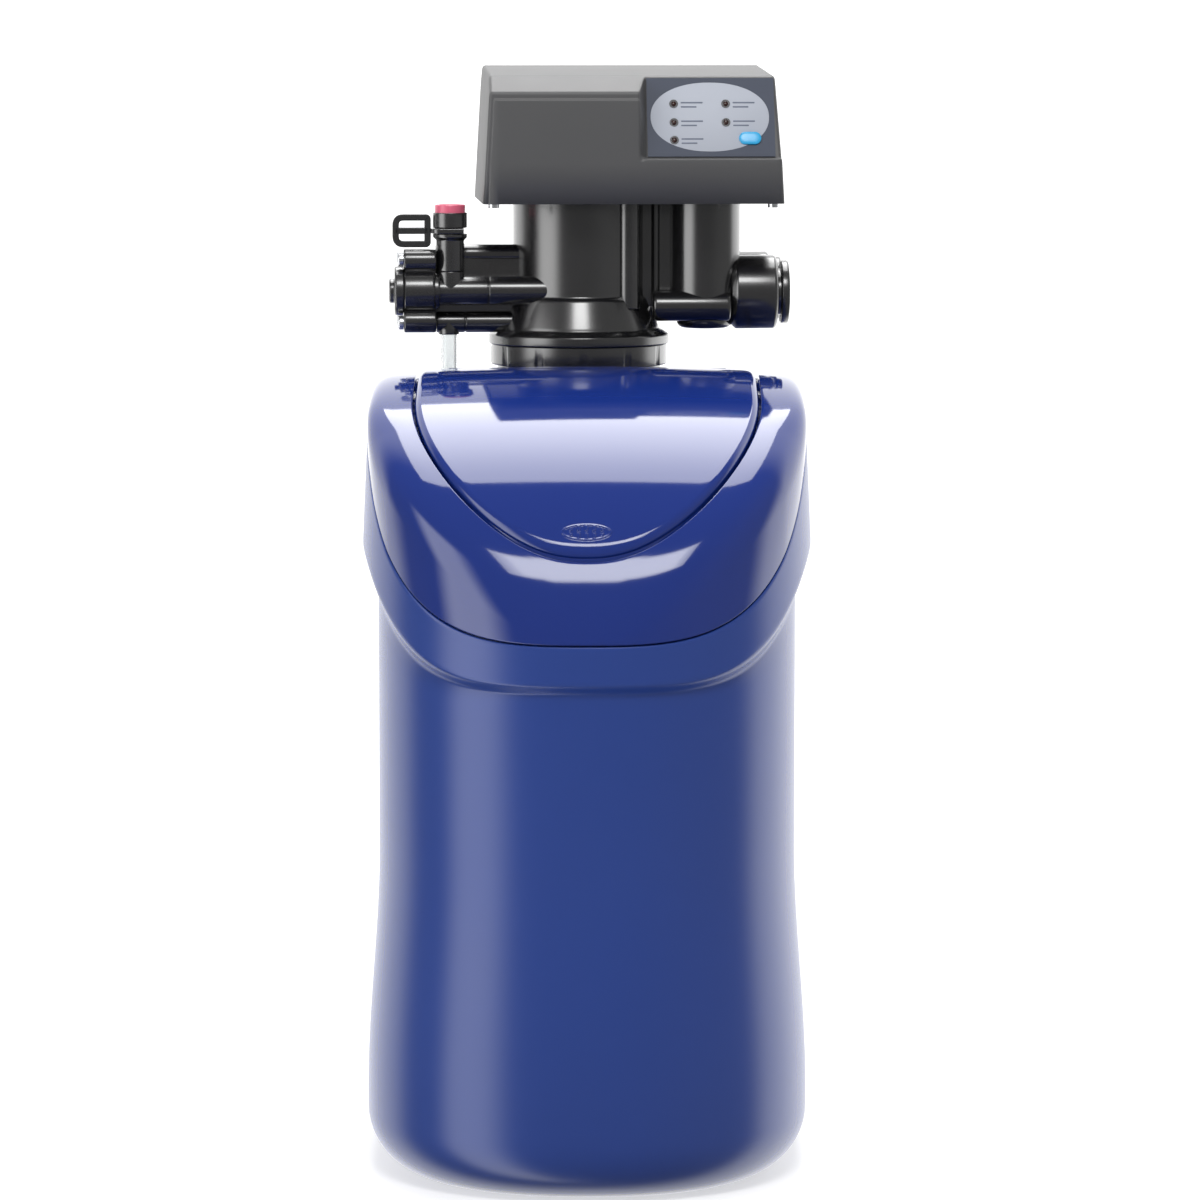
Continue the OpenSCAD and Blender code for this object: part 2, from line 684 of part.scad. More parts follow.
// Valve body: spigot, flange, skirt and main column on the axis, the second column, and the port tubes
inlet_y = -8;
outlet_y = 40;
port_end = 86;
port_stub = 18;
port_bore = 10;
collar_bore = pipe_r + 0.2;
stack_r = 16;
stack_bore = 11;
stack_z = skirt_z - 12;
gland_h = 12;
stack_top = head_z - gland_h - seat;
drain_y = -24;
drain_z = port_z + 2;
drain_r = 8.3;
socket_room = 8;
socket_x = block_right + socket_room;
seam_room = 22;
drain_seam = socket_x + seam_room;
side_tube_y = brine_y;
upper_tube_r = 3.5;
upper_tube_y = -9;
upper_tube_z = drain_z + 20.6;
lower_tube_r = 5.6;
lower_tube_z = drain_z - 18.8;
lower_seam_room = 9.6;
lower_seam = brine_x + lower_seam_room;
module along_y(r, l, at = [0, 0, 0]) {
    translate(at)
        rotate([-90, 0, 0])
            cylinder(r = r, h = l, $fn = 64);
}
// The second column: a round post with a domed lower end, cut back where the inlet's cap turns
module post() {
    steps = 8;
    difference() {
        translate([post_x, inlet_y, 0])
            rotate_extrude($fn = 72)
                polygon(concat(
                    [for (i = [0 : steps]) let (a = 90 - 90 * i / steps)
                        [post_r * cos(a), port_z - post_r * sin(a)]],
                    [[post_r, head_z], [0, head_z]]));
        along_x(cap_r + cut, post_r, [port_end, inlet_y, port_z]);
    }
}
module valve_solid() {
    translate([0, 0, spigot_z])
        cylinder(r = spigot_r, h = spigot_l, $fn = 96);
    translate([0, 0, collar_z])
        cylinder(r = flange_r, h = flange_h, $fn = 96);
    translate([0, 0, flange_z])
        cylinder(r = skirt_r, h = skirt_h, $fn = 96);
    translate([0, 0, skirt_z])
        cylinder(r = column_r, h = column_h, $fn = 96);
    post();
    for (y = [inlet_y, outlet_y])
        along_x(port_r, port_end - 15, [15, y, port_z]);
    for (y = [inlet_y, outlet_y])
        along_x(stub_r, port_stub, [port_end, y, port_z]);
    translate([column_r - 8, inlet_y - 4, port_z])
        cube([post_x - column_r, 8, head_z - port_z]);
    along_x(drain_r, -drain_seam - 8, [drain_seam, drain_y, drain_z]);
    along_x(drain_r + 1.5, 4, [drain_seam, drain_y, drain_z]);
    along_x(upper_tube_r, -block_right - 30, [block_right, upper_tube_y, upper_tube_z]);
    along_x(lower_tube_r, -lower_seam - 30, [lower_seam, side_tube_y, lower_tube_z]);
}
module valve_body() {
    color(valve_black)
        on_valve()
            difference() {
                valve_solid();
                translate([0, 0, stack_z])
                    cylinder(r = stack_r + seat, h = head_z, $fn = 64);
                translate([0, 0, spigot_z - cut])
                    cylinder(r = riser_r + seat, h = spigot_l + cut + seat, $fn = 64);
                translate([0, 0, collar_z])
                    cylinder(r = riser_r - riser_wall, h = stack_z - collar_z + cut, $fn = 64);
                translate([0, 0, spigot_z + seal_lift - riser_seal_r - seat])
                    cylinder(r = riser_r + 2 * (riser_seal_r + seat), h = 2 * (riser_seal_r + seat),
                        $fn = 64);
                translate([0, 0, spigot_z + seal_lift - seal_r - seat])
                    difference() {
                        cylinder(r = spigot_r + cut, h = 2 * (seal_r + seat), $fn = 96);
                        translate([0, 0, -cut])
                            cylinder(r = neck_bore - 2 * (seal_r + seat), h = 4 * seal_r, $fn = 96);
                    }
                along_x(port_bore, port_end + port_stub, [stack_r - 4, inlet_y, port_z]);
                along_x(port_bore, port_end + port_stub, [20, outlet_y, port_z]);
                along_x(meter_r + seat, meter_l + cut, [port_end + port_stub - meter_l, outlet_y, port_z]);
                along_y(port_bore / 2, outlet_y, [stack_r + 2, 0, port_z]);
                along_x(drain_r / 2, -drain_seam - 4, [drain_seam - cut, drain_y, drain_z]);
                along_y(drain_r / 2, -drain_y, [-6, drain_y, drain_z]);
                along_x(lower_tube_r / 2, -lower_seam - 10, [lower_seam - cut, side_tube_y, lower_tube_z]);
                along_x(upper_tube_r / 2, -block_right - 12,
                    [block_right - cut, upper_tube_y, upper_tube_z]);
            }
}

// Seals and spacers as one stack, the piston that slides in it, and the gland above
stack_h = stack_top - stack_z;
stack_spacers = 5;
piston_l = stack_h - piston_stroke - 4;
piston_z = stack_z + 2;
rod_r = 4;
rod_top = head_z + 40;
module seal_stack() {
    pitch = stack_h / stack_spacers;
    color([0.20, 0.35, 0.30])
        on_valve()
            translate([0, 0, stack_z])
                difference() {
                    cylinder(r = stack_r, h = stack_h, $fn = 64);
                    translate([0, 0, -cut])
                        cylinder(r = stack_bore, h = stack_h + 2 * cut, $fn = 64);
                    for (i = [0 : stack_spacers - 1])
                        translate([0, 0, (i + 0.5) * pitch])
                            for (a = [0, 60, 120])
                                rotate([0, 90, a])
                                    cylinder(r = 0.22 * pitch, h = 3 * stack_r, center = true, $fn = 24);
                }
}
module piston() {
    land = 6;
    color([0.85, 0.85, 0.82])
        on_valve()
            translate([0, 0, piston_z])
                rotate_extrude($fn = 64)
                    polygon([[0, 0], [stack_bore - running, 0], [stack_bore - running, land],
                        [stack_bore - 4, land + 2], [stack_bore - 4, piston_l - land - 2],
                        [stack_bore - running, piston_l - land], [stack_bore - running, piston_l],
                        [0, piston_l]]);
}
module piston_rod() {
    color(steel)
        on_valve()
            translate([0, 0, piston_z + piston_l])
                cylinder(r = rod_r, h = rod_top - piston_z - piston_l, $fn = 48);
}
module piston_gland() {
    color(part_grey)
        on_valve()
            translate([0, 0, head_z - gland_h])
                difference() {
                    cylinder(r = stack_r, h = gland_h, $fn = 64);
                    translate([0, 0, -cut])
                        cylinder(r = rod_r + running, h = gland_h + 2 * cut, $fn = 48);
                }
}

// Injector block on the left, with its end cap, screws, nozzle and throat
block_front = -37;
block_depth = 34;
block_low = lower_tube_z - 5;
block_top = upper_tube_z + upper_tube_r;
cap_plate_t = 5;
cap_plate_r = 14;
cap_boss = 3;
screw_r = 2;
screw_head_r = 4;
screw_head_h = 3.2;
screw_inset = 6;
screw_places = [for (z = [block_low + screw_inset, block_top - screw_inset],
    y = [block_front + screw_inset, block_front + block_depth - screw_inset]) [y, z]];
jet_bore = 6;
jet_l = 6;
throat_l = 7;
throat_r = 1.8;
nozzle_r = 1.2;
module injector_body() {
    color(valve_black)
        on_valve()
            difference() {
                union() {
                    translate([block_left, block_front, block_low])
                        cube([block_right - block_left, block_depth, block_top - block_low]);
                    along_x(drain_r, drain_seam - block_right, [block_right, drain_y, drain_z]);
                    translate([socket_x, drain_y, drain_z])
                        cylinder(r = socket_r - 2.5, h = drain_r + 3, $fn = 64);
                }
                along_x(jet_bore, block_right - block_left - 4, [block_left - cut, drain_y, drain_z]);
                along_x(drain_r / 2, drain_seam - block_left + 2 * cut,
                    [block_left - cut, drain_y, drain_z]);
                translate([socket_x, drain_y, drain_z])
                    cylinder(r = drain_r / 2, h = drain_r + 3 + cut, $fn = 48);
                for (p = screw_places)
                    along_x(screw_r, 12, [block_left - cut, p[0], p[1]]);
            }
}
module injector_cap() {
    color(valve_black)
        on_valve()
            difference() {
                union() {
                    along_x(cap_plate_r, cap_plate_t, [block_left - cap_plate_t, drain_y, drain_z]);
                    along_x(cap_plate_r / 2, cap_plate_t + cap_boss,
                        [block_left - cap_plate_t - cap_boss, drain_y, drain_z]);
                }
                along_x(jet_bore / 2, cap_plate_t, [block_left - cap_plate_t / 2, drain_y, drain_z]);
            }
}
module injector_screws() {
    color(steel)
        on_valve()
            for (p = screw_places) {
                along_x(screw_r - seat / 2, 8, [block_left, p[0], p[1]]);
                along_x(screw_head_r, screw_head_h, [block_left - screw_head_h, p[0], p[1]]);
            }
}
module injector_nozzle() {
    color([0.80, 0.15, 0.15])
        on_valve()
            difference() {
                along_x(jet_bore - seat, jet_l, [block_left, drain_y, drain_z]);
                along_x(nozzle_r, jet_l + 2 * cut, [block_left - cut, drain_y, drain_z]);
            }
}
module injector_throat() {
    color([0.92, 0.92, 0.92])
        on_valve()
            difference() {
                along_x(jet_bore - seat, throat_l, [block_left + jet_l, drain_y, drain_z]);
                along_x(throat_r, throat_l + 2 * cut, [block_left + jet_l - cut, drain_y, drain_z]);
            }
}

// Drain push-fit on top of the injector: a socket, a red release collet and a horseshoe clip
socket_r = 9.9;
socket_z = drain_z + drain_r + 3;
socket_top = head_z - 6;
groove_z = socket_top - 12;
groove_h = 3.4;
groove_r = 8;
hose_r = 6.35;
hose_cup = hose_r + 1.1;
collet_travel = 2;
collet_flange_h = 3;
collet_l = 12;
clip_t = 2.8;
clip_w = 3;
clip_reach = 6;
clip_left = block_left - clip_reach;
clip_plate_w = 22;
clip_plate_h = 19;
clip_neck = 2.4;
module drain_socket() {
    color(valve_black)
        on_valve()
            translate([socket_x, drain_y, 0])
                difference() {
                    union() {
                        translate([0, 0, socket_z])
                            cylinder(r = socket_r - 2, h = groove_z - socket_z, $fn = 64);
                        translate([0, 0, groove_z - 6])
                            cylinder(r = socket_r, h = 6, $fn = 64);
                        translate([0, 0, groove_z])
                            cylinder(r = groove_r, h = groove_h, $fn = 64);
                        translate([0, 0, groove_z + groove_h])
                            cylinder(r = socket_r, h = socket_top - groove_z - groove_h, $fn = 64);
                    }
                    translate([0, 0, socket_z - cut])
                        cylinder(r = drain_r / 2, h = socket_top - socket_z, $fn = 48);
                    translate([0, 0, socket_z + 8])
                        cylinder(r = hose_cup, h = socket_top, $fn = 64);
                }
}
module drain_collet() {
    proud = collet_l + collet_travel + loose;
    color([0.80, 0.20, 0.22])
        on_valve()
            translate([socket_x, drain_y, socket_top - collet_l])
                difference() {
                    union() {
                        cylinder(r = hose_cup - running, h = proud + collet_flange_h, $fn = 64);
                        translate([0, 0, proud])
                            cylinder(r = socket_r - 2 * loose, h = collet_flange_h, $fn = 64);
                    }
                    translate([0, 0, -cut])
                        cylinder(r = hose_r, h = proud + collet_flange_h + 2 * cut, $fn = 64);
                }
}
module drain_clip() {
    prong_in = groove_r + loose;
    prong_w = socket_r + 1 - prong_in;
    prong_l = socket_x + groove_r - clip_left - clip_plate_w;
    prong_z = groove_z + (groove_h - clip_t) / 2;
    plate_low = groove_z + groove_h / 2 - clip_plate_h / 2;
    frame_w = 3;
    slot_h = 5;
    color(valve_black)
        on_valve()
            translate([0, drain_y, 0]) {
                difference() {
                    translate([clip_left, -clip_w / 2, plate_low])
                        cube([clip_plate_w, clip_w, clip_plate_h]);
                    for (z = [plate_low + frame_w, plate_low + clip_plate_h - frame_w - slot_h])
                        translate([clip_left + frame_w, -clip_w, z])
                            cube([clip_plate_w - 2 * frame_w, 2 * clip_w, slot_h]);
                }
                translate([clip_left + clip_plate_w, -prong_in - prong_w, prong_z])
                    cube([clip_neck, 2 * (prong_in + prong_w), clip_t]);
                for (y = [-prong_in - prong_w, prong_in])
                    translate([clip_left + clip_plate_w, y, prong_z])
                        cube([prong_l, prong_w, clip_t]);
            }
}
module brine_connector() {
    elbow_r = lower_tube_r + 1.6;
    color(valve_black)
        on_valve()
            difference() {
                union() {
                    along_x(lower_tube_r, lower_seam - brine_x, [brine_x, side_tube_y, lower_tube_z]);
                    translate([brine_x, side_tube_y, brine_top_z - brine_cup])
                        cylinder(r = elbow_r, h = lower_tube_z + lower_tube_r - brine_top_z + brine_cup,
                            $fn = 48);
                }
                translate([brine_x, side_tube_y, brine_top_z - brine_cup - cut])
                    cylinder(r = brine_tube_r + running, h = brine_cup + cut, $fn = 48);
                along_x(lower_tube_r / 2, lower_seam - brine_x + cut, [brine_x, side_tube_y, lower_tube_z]);
            }
}

// Push-fit ports: a twist cap over the stub, and a collet that slides in it
collet_room = 4.5;
port_collet_travel = 2;
port_collet_h = 4.5;
collet_wall = 2;
stub_r = port_r - 2;
cap_edge = 1.5;
cap_x = port_end + loose;
module push_cap(y) {
    color(valve_black)
        on_valve()
            difference() {
                union() {
                    along_x(cap_r, cap_l - 2 * cap_edge, [cap_x + cap_edge, y, port_z]);
                    along_x(cap_r - cap_edge, cap_l, [cap_x, y, port_z]);
                }
                along_x(stub_r + running, port_stub + loose + cut, [cap_x - cut, y, port_z]);
                along_x(collar_bore + collet_wall + running, cap_l + 2 * cut, [cap_x - cut, y, port_z]);
            }
}
module push_collet(y) {
    sleeve_x = cap_x + port_stub + loose + collet_room;
    flange_x = cap_x + cap_l + loose + port_collet_travel;
    color(part_grey)
        on_valve()
            difference() {
                union() {
                    along_x(collar_bore + collet_wall, flange_x + port_collet_h - sleeve_x,
                        [sleeve_x, y, port_z]);
                    along_x(cap_r - 2 * cap_edge, port_collet_h, [flange_x, y, port_z]);
                }
                along_x(collar_bore, 2 * cap_l, [port_end, y, port_z]);
            }
}
module port_seal(y) {
    color([0.05, 0.05, 0.05])
        on_valve()
            translate([port_end + port_stub + 1.3, y, port_z])
                rotate([0, 90, 0])
                    o_ring(collar_bore + 1, 0.95);
}
module inlet_cap() { push_cap(inlet_y); }
module inlet_collet() { push_collet(inlet_y); }
module inlet_seal() { port_seal(inlet_y); }
module outlet_cap() { push_cap(outlet_y); }
module outlet_collet() { push_collet(outlet_y); }
module outlet_seal() { port_seal(outlet_y); }

// Flow meter in the outlet stub: a cage with two spiders, and a turbine between them
meter_r = 11.5;
meter_l = 26;
meter_bore = 9.8;
axle_r = 1;
turbine_l = 14;
spider_t = 3;
spider_in = 1;
turbine_blades = 6;
module meter_spider() {
    difference() {
        union() {
            along_x(3, spider_t);
            for (a = [0, 120, 240])
                rotate([a, 0, 0])
                    translate([0, -0.8, 0])
                        cube([spider_t, 1.6, meter_bore + 0.5]);
        }
        along_x(axle_r + running, spider_t + 2 * cut, [-cut, 0, 0]);
    }
}
module on_meter() {
    on_valve()
        translate([port_end + port_stub - meter_l, outlet_y, port_z])
            children();
}
module meter_cage() {
    color([0.90, 0.90, 0.88])
        on_meter() {
            difference() {
                along_x(meter_r, meter_l);
                along_x(meter_bore, meter_l + 2 * cut, [-cut, 0, 0]);
            }
            for (x = [spider_in, meter_l - spider_t - spider_in])
                translate([x, 0, 0])
                    meter_spider();
        }
}
module meter_turbine() {
    start = (meter_l - turbine_l) / 2;
    color([0.20, 0.35, 0.75])
        on_meter() {
            along_x(axle_r, meter_l - spider_t - spider_in, [(spider_t + spider_in) / 2, 0, 0]);
            along_x(3, turbine_l, [start, 0, 0]);
            for (i = [0 : turbine_blades - 1])
                rotate([360 * i / turbine_blades, 0, 0])
                    translate([start + turbine_l / 2, 0, 0])
                        rotate([0, 0, 30])
                            translate([-turbine_l / 3, -0.6, 2])
                                cube([2 * turbine_l / 3, 1.2, meter_bore - 3]);
        }
}

// Timer head: base plate on the two columns, gears, motor, and a cover with a sloped panel
base_t = 3;
head_floor = head_z + base_t;
gear_module = 1.25;
gear_teeth = 48;
pinion_teeth = 12;
gear_pitch_r = gear_module * gear_teeth / 2;
pinion_pitch_r = gear_module * pinion_teeth / 2;
gear_gap = gear_pitch_r + pinion_pitch_r;
pinion_turn = 60;
pinion_at = [gear_gap * cos(pinion_turn), gear_gap * sin(pinion_turn)];
gear_h = 8;
gear_z = head_floor + 3 + loose;
hub_h = 4;
gear_boss_r = 9;
bridge_z = gear_z + gear_h + hub_h + 3;
bridge_t = 2;
bridge_posts = [[-28, 28], [-28, -28], [44, 20]];
bridge_box = [[-34, -34], [50, 50]];
motor_r = 14;
motor_h = 24;
shaft_r = 2;
boss_inset = 6;
screw_bosses = [for (x = [boss_inset - head_left, head_right - boss_inset], side = [-1, 1])
    [x, side * (head_half_d - boss_inset)]];
cover_boss_h = 16;
cover_screw_r = 1.5;
cover_screw_l = 12;
cover_screw_head_r = 3.2;
cover_screw_head_h = 2.2;
module head_base() {
    in = head_wall + loose;
    color(part_grey)
        on_valve()
            difference() {
                union() {
                    translate([in - head_left, in - head_half_d, head_z])
                        cube([head_left + head_right - 2 * in, 2 * (head_half_d - in), base_t]);
                    translate([0, 0, head_floor])
                        cylinder(r = gear_boss_r + 5, h = 3, $fn = 64);
                    translate([0, 0, head_floor])
                        cylinder(r = gear_boss_r, h = 3 + loose + gear_h - 1, $fn = 64);
                    for (p = bridge_posts)
                        translate([p[0], p[1], head_floor])
                            cylinder(r = 3.5, h = bridge_z - head_floor, $fn = 32);
                }
                translate([0, 0, head_z - cut])
                    cylinder(r = rod_r + 1, h = 2 * gear_h, $fn = 48);
                for (p = screw_bosses)
                    translate([p[0], p[1], head_z - cut])
                        cylinder(r = cover_screw_r + seat, h = base_t + 2 * cut, $fn = 32);
            }
}
// A spur wheel's outline: trapezoid teeth round a pitch circle
function gear_points(teeth, pitch_r) =
    let (step = 360 / teeth, tip = pitch_r + 0.8 * gear_module, root = pitch_r - 1.1 * gear_module)
    [for (i = [0 : teeth - 1], c = [[root, -0.26], [tip, -0.1], [tip, 0.1], [root, 0.26]])
        c[0] * [cos((i + c[1]) * step), sin((i + c[1]) * step)]];
module drive_gear() {
    color([0.90, 0.90, 0.86])
        on_valve()
            translate([0, 0, gear_z])
                difference() {
                    union() {
                        linear_extrude(gear_h)
                            polygon(gear_points(gear_teeth, gear_pitch_r));
                        cylinder(r = gear_boss_r + 4, h = gear_h + hub_h, $fn = 64);
                    }
                    translate([0, 0, -cut])
                        cylinder(r = gear_boss_r + running, h = gear_h + cut, $fn = 64);
                    cylinder(r = rod_r + running, h = gear_h + hub_h + cut, $fn = 48);
                }
}
module motor_pinion() {
    color([0.85, 0.75, 0.45])
        on_valve()
            translate([pinion_at[0], pinion_at[1], gear_z]) {
                rotate([0, 0, 180 / pinion_teeth])
                    linear_extrude(gear_h)
                        polygon(gear_points(pinion_teeth, pinion_pitch_r));
                translate([0, 0, gear_h])
                    cylinder(r = shaft_r, h = bridge_z + bridge_t + 8 - gear_z - gear_h, $fn = 32);
            }
}
module gear_bridge() {
    size = bridge_box[1] - bridge_box[0];
    color(part_grey)
        on_valve()
            difference() {
                translate([bridge_box[0][0], bridge_box[0][1], bridge_z])
                    cube([size[0], size[1], bridge_t]);
                translate([0, 0, bridge_z - cut])
                    cylinder(r = rod_r + 2, h = bridge_t + 2 * cut, $fn = 48);
                translate([pinion_at[0], pinion_at[1], bridge_z - cut])
                    cylinder(r = shaft_r + 1, h = bridge_t + 2 * cut, $fn = 32);
            }
}
module drive_motor() {
    color(steel)
        on_valve()
            translate([pinion_at[0], pinion_at[1], bridge_z + bridge_t])
                difference() {
                    cylinder(r = motor_r, h = motor_h, $fn = 64);
                    translate([0, 0, -cut])
                        cylinder(r = shaft_r + running, h = 10, $fn = 32);
                }
}

// The head's outer form, or its hollow when set in by a wall: draft from the front, slopes from the side
head_knee_d = 22;
head_knee_h = 9;
head_rear_bevel = 8;
module across(points, from, to) {
    translate([from, 0, 0])
        rotate([90, 0, 90])
            linear_extrude(to - from)
                polygon(points);
}
module head_form(in, low) {
    top = head_rear_h - in;
    lean_in = head_rear_h * tan(head_draft);
    d = head_half_d - in;
    left = in - head_left;
    right = head_right - in;
    translate([0, 0, head_z])
        intersection() {
            translate([0, head_half_d, 0])
                rotate([90, 0, 0])
                    linear_extrude(2 * head_half_d)
                        polygon([[left, low], [right, low], [right - lean_in, head_rear_h],
                            [left + lean_in, head_rear_h]]);
            across([[-d, low], [-d, head_front_h - in],
                [head_knee_d - head_half_d, head_front_h + head_knee_h - in],
                [d - head_rear_bevel, top], [d, top - head_rear_bevel], [d, low]], -head_left, head_right);
        }
}
// The panel's recess, open to the front, the top and the right; set in, the room behind it
module panel_cut(in) {
    y0 = panel_recess - head_half_d + in / cos(panel_lean) - in * tan(panel_lean);
    z0 = head_z + panel_lip - in;
    reach = head_rear_h;
    across([[y0, z0], [y0 + reach * tan(panel_lean), z0 + reach], [-2 * head_half_d, z0 + reach],
        [-2 * head_half_d, z0]], panel_x - in, 2 * head_right);
}
module on_panel() {
    on_valve()
        translate([panel_x, panel_recess - head_half_d, head_z + panel_lip])
            rotate([90 - panel_lean, 0, 0])
                children();
}
panel_margin = 0.8;
panel_t = 0.8;
panel_w = head_right - head_rear_h * tan(head_draft) - panel_x - 2 * panel_margin;
panel_h = (head_front_h + head_knee_h - panel_lip) / cos(panel_lean) - 2 * panel_margin - 1;
lens_r = 1.6;
lens_places = [[16, 32], [16, 21], [16, 10.5], [45.5, 32], [45.5, 21]];
button_at = [59, 11.5];
button_half = 2.6;
button_r = 3.7;
button_proud = 1.4;
button_flange = 1;
button_stem = 1.2;
board_gap = 7.5;
board_t = 1.6;
board_in = 4;
post_reach = head_wall + board_gap;
board_edge = board_in + 3;
board_posts = [[board_edge, board_edge], [0.55 * panel_w, board_edge],
    [board_edge, panel_h - board_edge - 2], [panel_w - board_edge, panel_h - board_edge - 2]];
// A slot-shaped prism with round ends
module slot(half, r, h) {
    for (side = [-1, 1])
        translate([side * half, 0, 0])
            cylinder(r = r, h = h, $fn = 48);
    translate([-half, -r, 0])
        cube([2 * half, 2 * r, h]);
}
module panel_holes() {
    for (p = lens_places)
        translate([p[0], p[1], -2 * head_wall])
            cylinder(r = lens_r + seat, h = 4 * head_wall, $fn = 32);
    translate([button_at[0], button_at[1], -2 * head_wall])
        slot(button_half, button_r + loose, 4 * head_wall);
}
inlet_jack_x = 60;
inlet_jack_z = 14;
jack_r = 5.5;
jack_l = 12;
jack_rim = 1.5;
jack_bore_r = 2.75;
jack_bore_l = 8.7;
module control_cover() {
    color(valve_black)
        difference() {
            union() {
                on_valve()
                    difference() {
                        head_form(0, 0);
                        panel_cut(0);
                        difference() {
                            head_form(head_wall, -cut);
                            panel_cut(head_wall);
                        }
                        along_y(jack_r + seat, 4 * head_wall,
                            [inlet_jack_x, head_half_d - 2 * head_wall, head_z + inlet_jack_z]);
                    }
                on_valve()
                    for (p = screw_bosses)
                        translate([p[0], p[1], head_floor])
                            cylinder(r = 4, h = cover_boss_h, $fn = 32);
                on_panel()
                    for (p = board_posts)
                        translate([p[0], p[1], -post_reach])
                            cylinder(r = 2.5, h = post_reach - head_wall / 2, $fn = 32);
            }
            on_panel()
                panel_holes();
            on_valve()
                for (p = screw_bosses)
                    translate([p[0], p[1], head_floor - cut])
                        cylinder(r = cover_screw_r + seat / 2, h = cover_boss_h - 2, $fn = 32);
        }
}
module cover_screws() {
    color(steel)
        on_valve()
            for (p = screw_bosses) {
                translate([p[0], p[1], head_z])
                    cylinder(r = cover_screw_r, h = cover_screw_l, $fn = 32);
                translate([p[0], p[1], head_z - cover_screw_head_h])
                    cylinder(r = cover_screw_head_r, h = cover_screw_head_h, $fn = 32);
            }
}
module control_panel() {
    color([0.35, 0.38, 0.45])
        on_panel()
            difference() {
                translate([panel_margin, panel_margin, 0])
                    cube([panel_w, panel_h, panel_t]);
                panel_holes();
            }
}
module led_lenses() {
    color([0.90, 0.93, 0.95])
        on_panel()
            for (p = lens_places)
                translate([p[0], p[1], -post_reach])
                    cylinder(r = lens_r, h = post_reach + panel_t + 0.6, $fn = 32);
}
module circuit_board() {
    color([0.10, 0.35, 0.18])
        on_panel()
            translate([board_in, board_in, -post_reach - board_t])
                cube([panel_w - 2 * board_in, panel_h - 2 * board_in - 2, board_t]);
}
module button_switch() {
    color(part_grey)
        on_panel()
            translate([button_at[0] - 3, button_at[1] - 3, -post_reach])
                cube([6, 6, board_gap - loose - button_flange - button_stem - button_travel - seat / 2]);
}
module regen_button() {
    color([0.15, 0.45, 0.75])
        on_panel()
            translate([button_at[0], button_at[1], 0]) {
                translate([0, 0, -head_wall - loose])
                    slot(button_half, button_r, head_wall + loose + panel_t + button_proud);
                translate([0, 0, -head_wall - loose - button_flange])
                    slot(button_half, button_r + 1, button_flange);
                translate([0, 0, -head_wall - loose - button_flange - button_stem])
                    cylinder(r = 2, h = button_stem, $fn = 32);
            }
}
module power_inlet() {
    color(part_grey)
        on_valve()
            translate([inlet_jack_x, head_half_d, head_z + inlet_jack_z])
                difference() {
                    union() {
                        along_y(jack_r, jack_l, [0, -jack_l, 0]);
                        along_y(jack_r + jack_rim, jack_rim);
                    }
                    along_y(jack_bore_r, jack_bore_l, [0, jack_rim + seat - jack_bore_l, 0]);
                }
}

cabinet_body();
top_cover();
rear_deck();
salt_lid();
lid_hinge_arms();
hinge_knuckles();
lid_hinge_pin();
brine_well();
brine_well_cap();
brine_pickup();
float();
brine_tube();
pressure_vessel();
vessel_boot();
tank_collar();
riser_tube();
bottom_strainer();
top_strainer();
resin_bed();
neck_seal();
riser_seal();
valve_body();
seal_stack();
piston();
piston_rod();
piston_gland();
injector_body();
injector_cap();
injector_screws();
injector_nozzle();
injector_throat();
drain_socket();
drain_collet();
drain_clip();
brine_connector();
inlet_cap();
inlet_collet();
inlet_seal();
outlet_cap();
outlet_collet();
outlet_seal();
meter_cage();
meter_turbine();
head_base();
gear_bridge();
drive_motor();
motor_pinion();
drive_gear();
control_cover();
cover_screws();
control_panel();
led_lenses();
circuit_board();
button_switch();
regen_button();
power_inlet();
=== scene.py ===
"""Dresses the water softener: smooth shells, moulded valve pieces, finishes and a studio stage."""

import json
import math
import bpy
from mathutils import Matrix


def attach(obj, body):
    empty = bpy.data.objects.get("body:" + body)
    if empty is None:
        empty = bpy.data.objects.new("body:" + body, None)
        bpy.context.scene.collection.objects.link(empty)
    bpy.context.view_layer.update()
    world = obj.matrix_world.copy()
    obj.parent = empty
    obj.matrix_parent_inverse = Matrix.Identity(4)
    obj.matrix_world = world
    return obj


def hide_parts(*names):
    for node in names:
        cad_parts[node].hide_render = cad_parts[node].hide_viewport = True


bl_info = {
    "name": "Water softener dressing",
    "version": (1, 0, 0),
    "blender": (4, 5, 0),
    "location": "View3D > Sidebar > Softener",
    "description": "Builds the visible shells, fittings and finishes of a cabinet water softener",
    "category": "Object",
}

import bpy
import numpy as np
from bpy.props import FloatProperty, FloatVectorProperty, IntProperty, PointerProperty
from mathutils import Matrix

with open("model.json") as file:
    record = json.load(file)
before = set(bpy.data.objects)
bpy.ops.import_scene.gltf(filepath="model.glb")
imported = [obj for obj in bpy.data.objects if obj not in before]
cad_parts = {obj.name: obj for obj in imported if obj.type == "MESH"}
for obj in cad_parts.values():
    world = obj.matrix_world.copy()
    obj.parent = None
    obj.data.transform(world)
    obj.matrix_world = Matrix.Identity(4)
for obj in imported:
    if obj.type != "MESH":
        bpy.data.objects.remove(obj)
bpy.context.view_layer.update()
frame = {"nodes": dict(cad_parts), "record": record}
ROOT = "cabinet"

# Form values are in millimetres, as the solids are drawn; put() turns them into metres
MM = 0.001

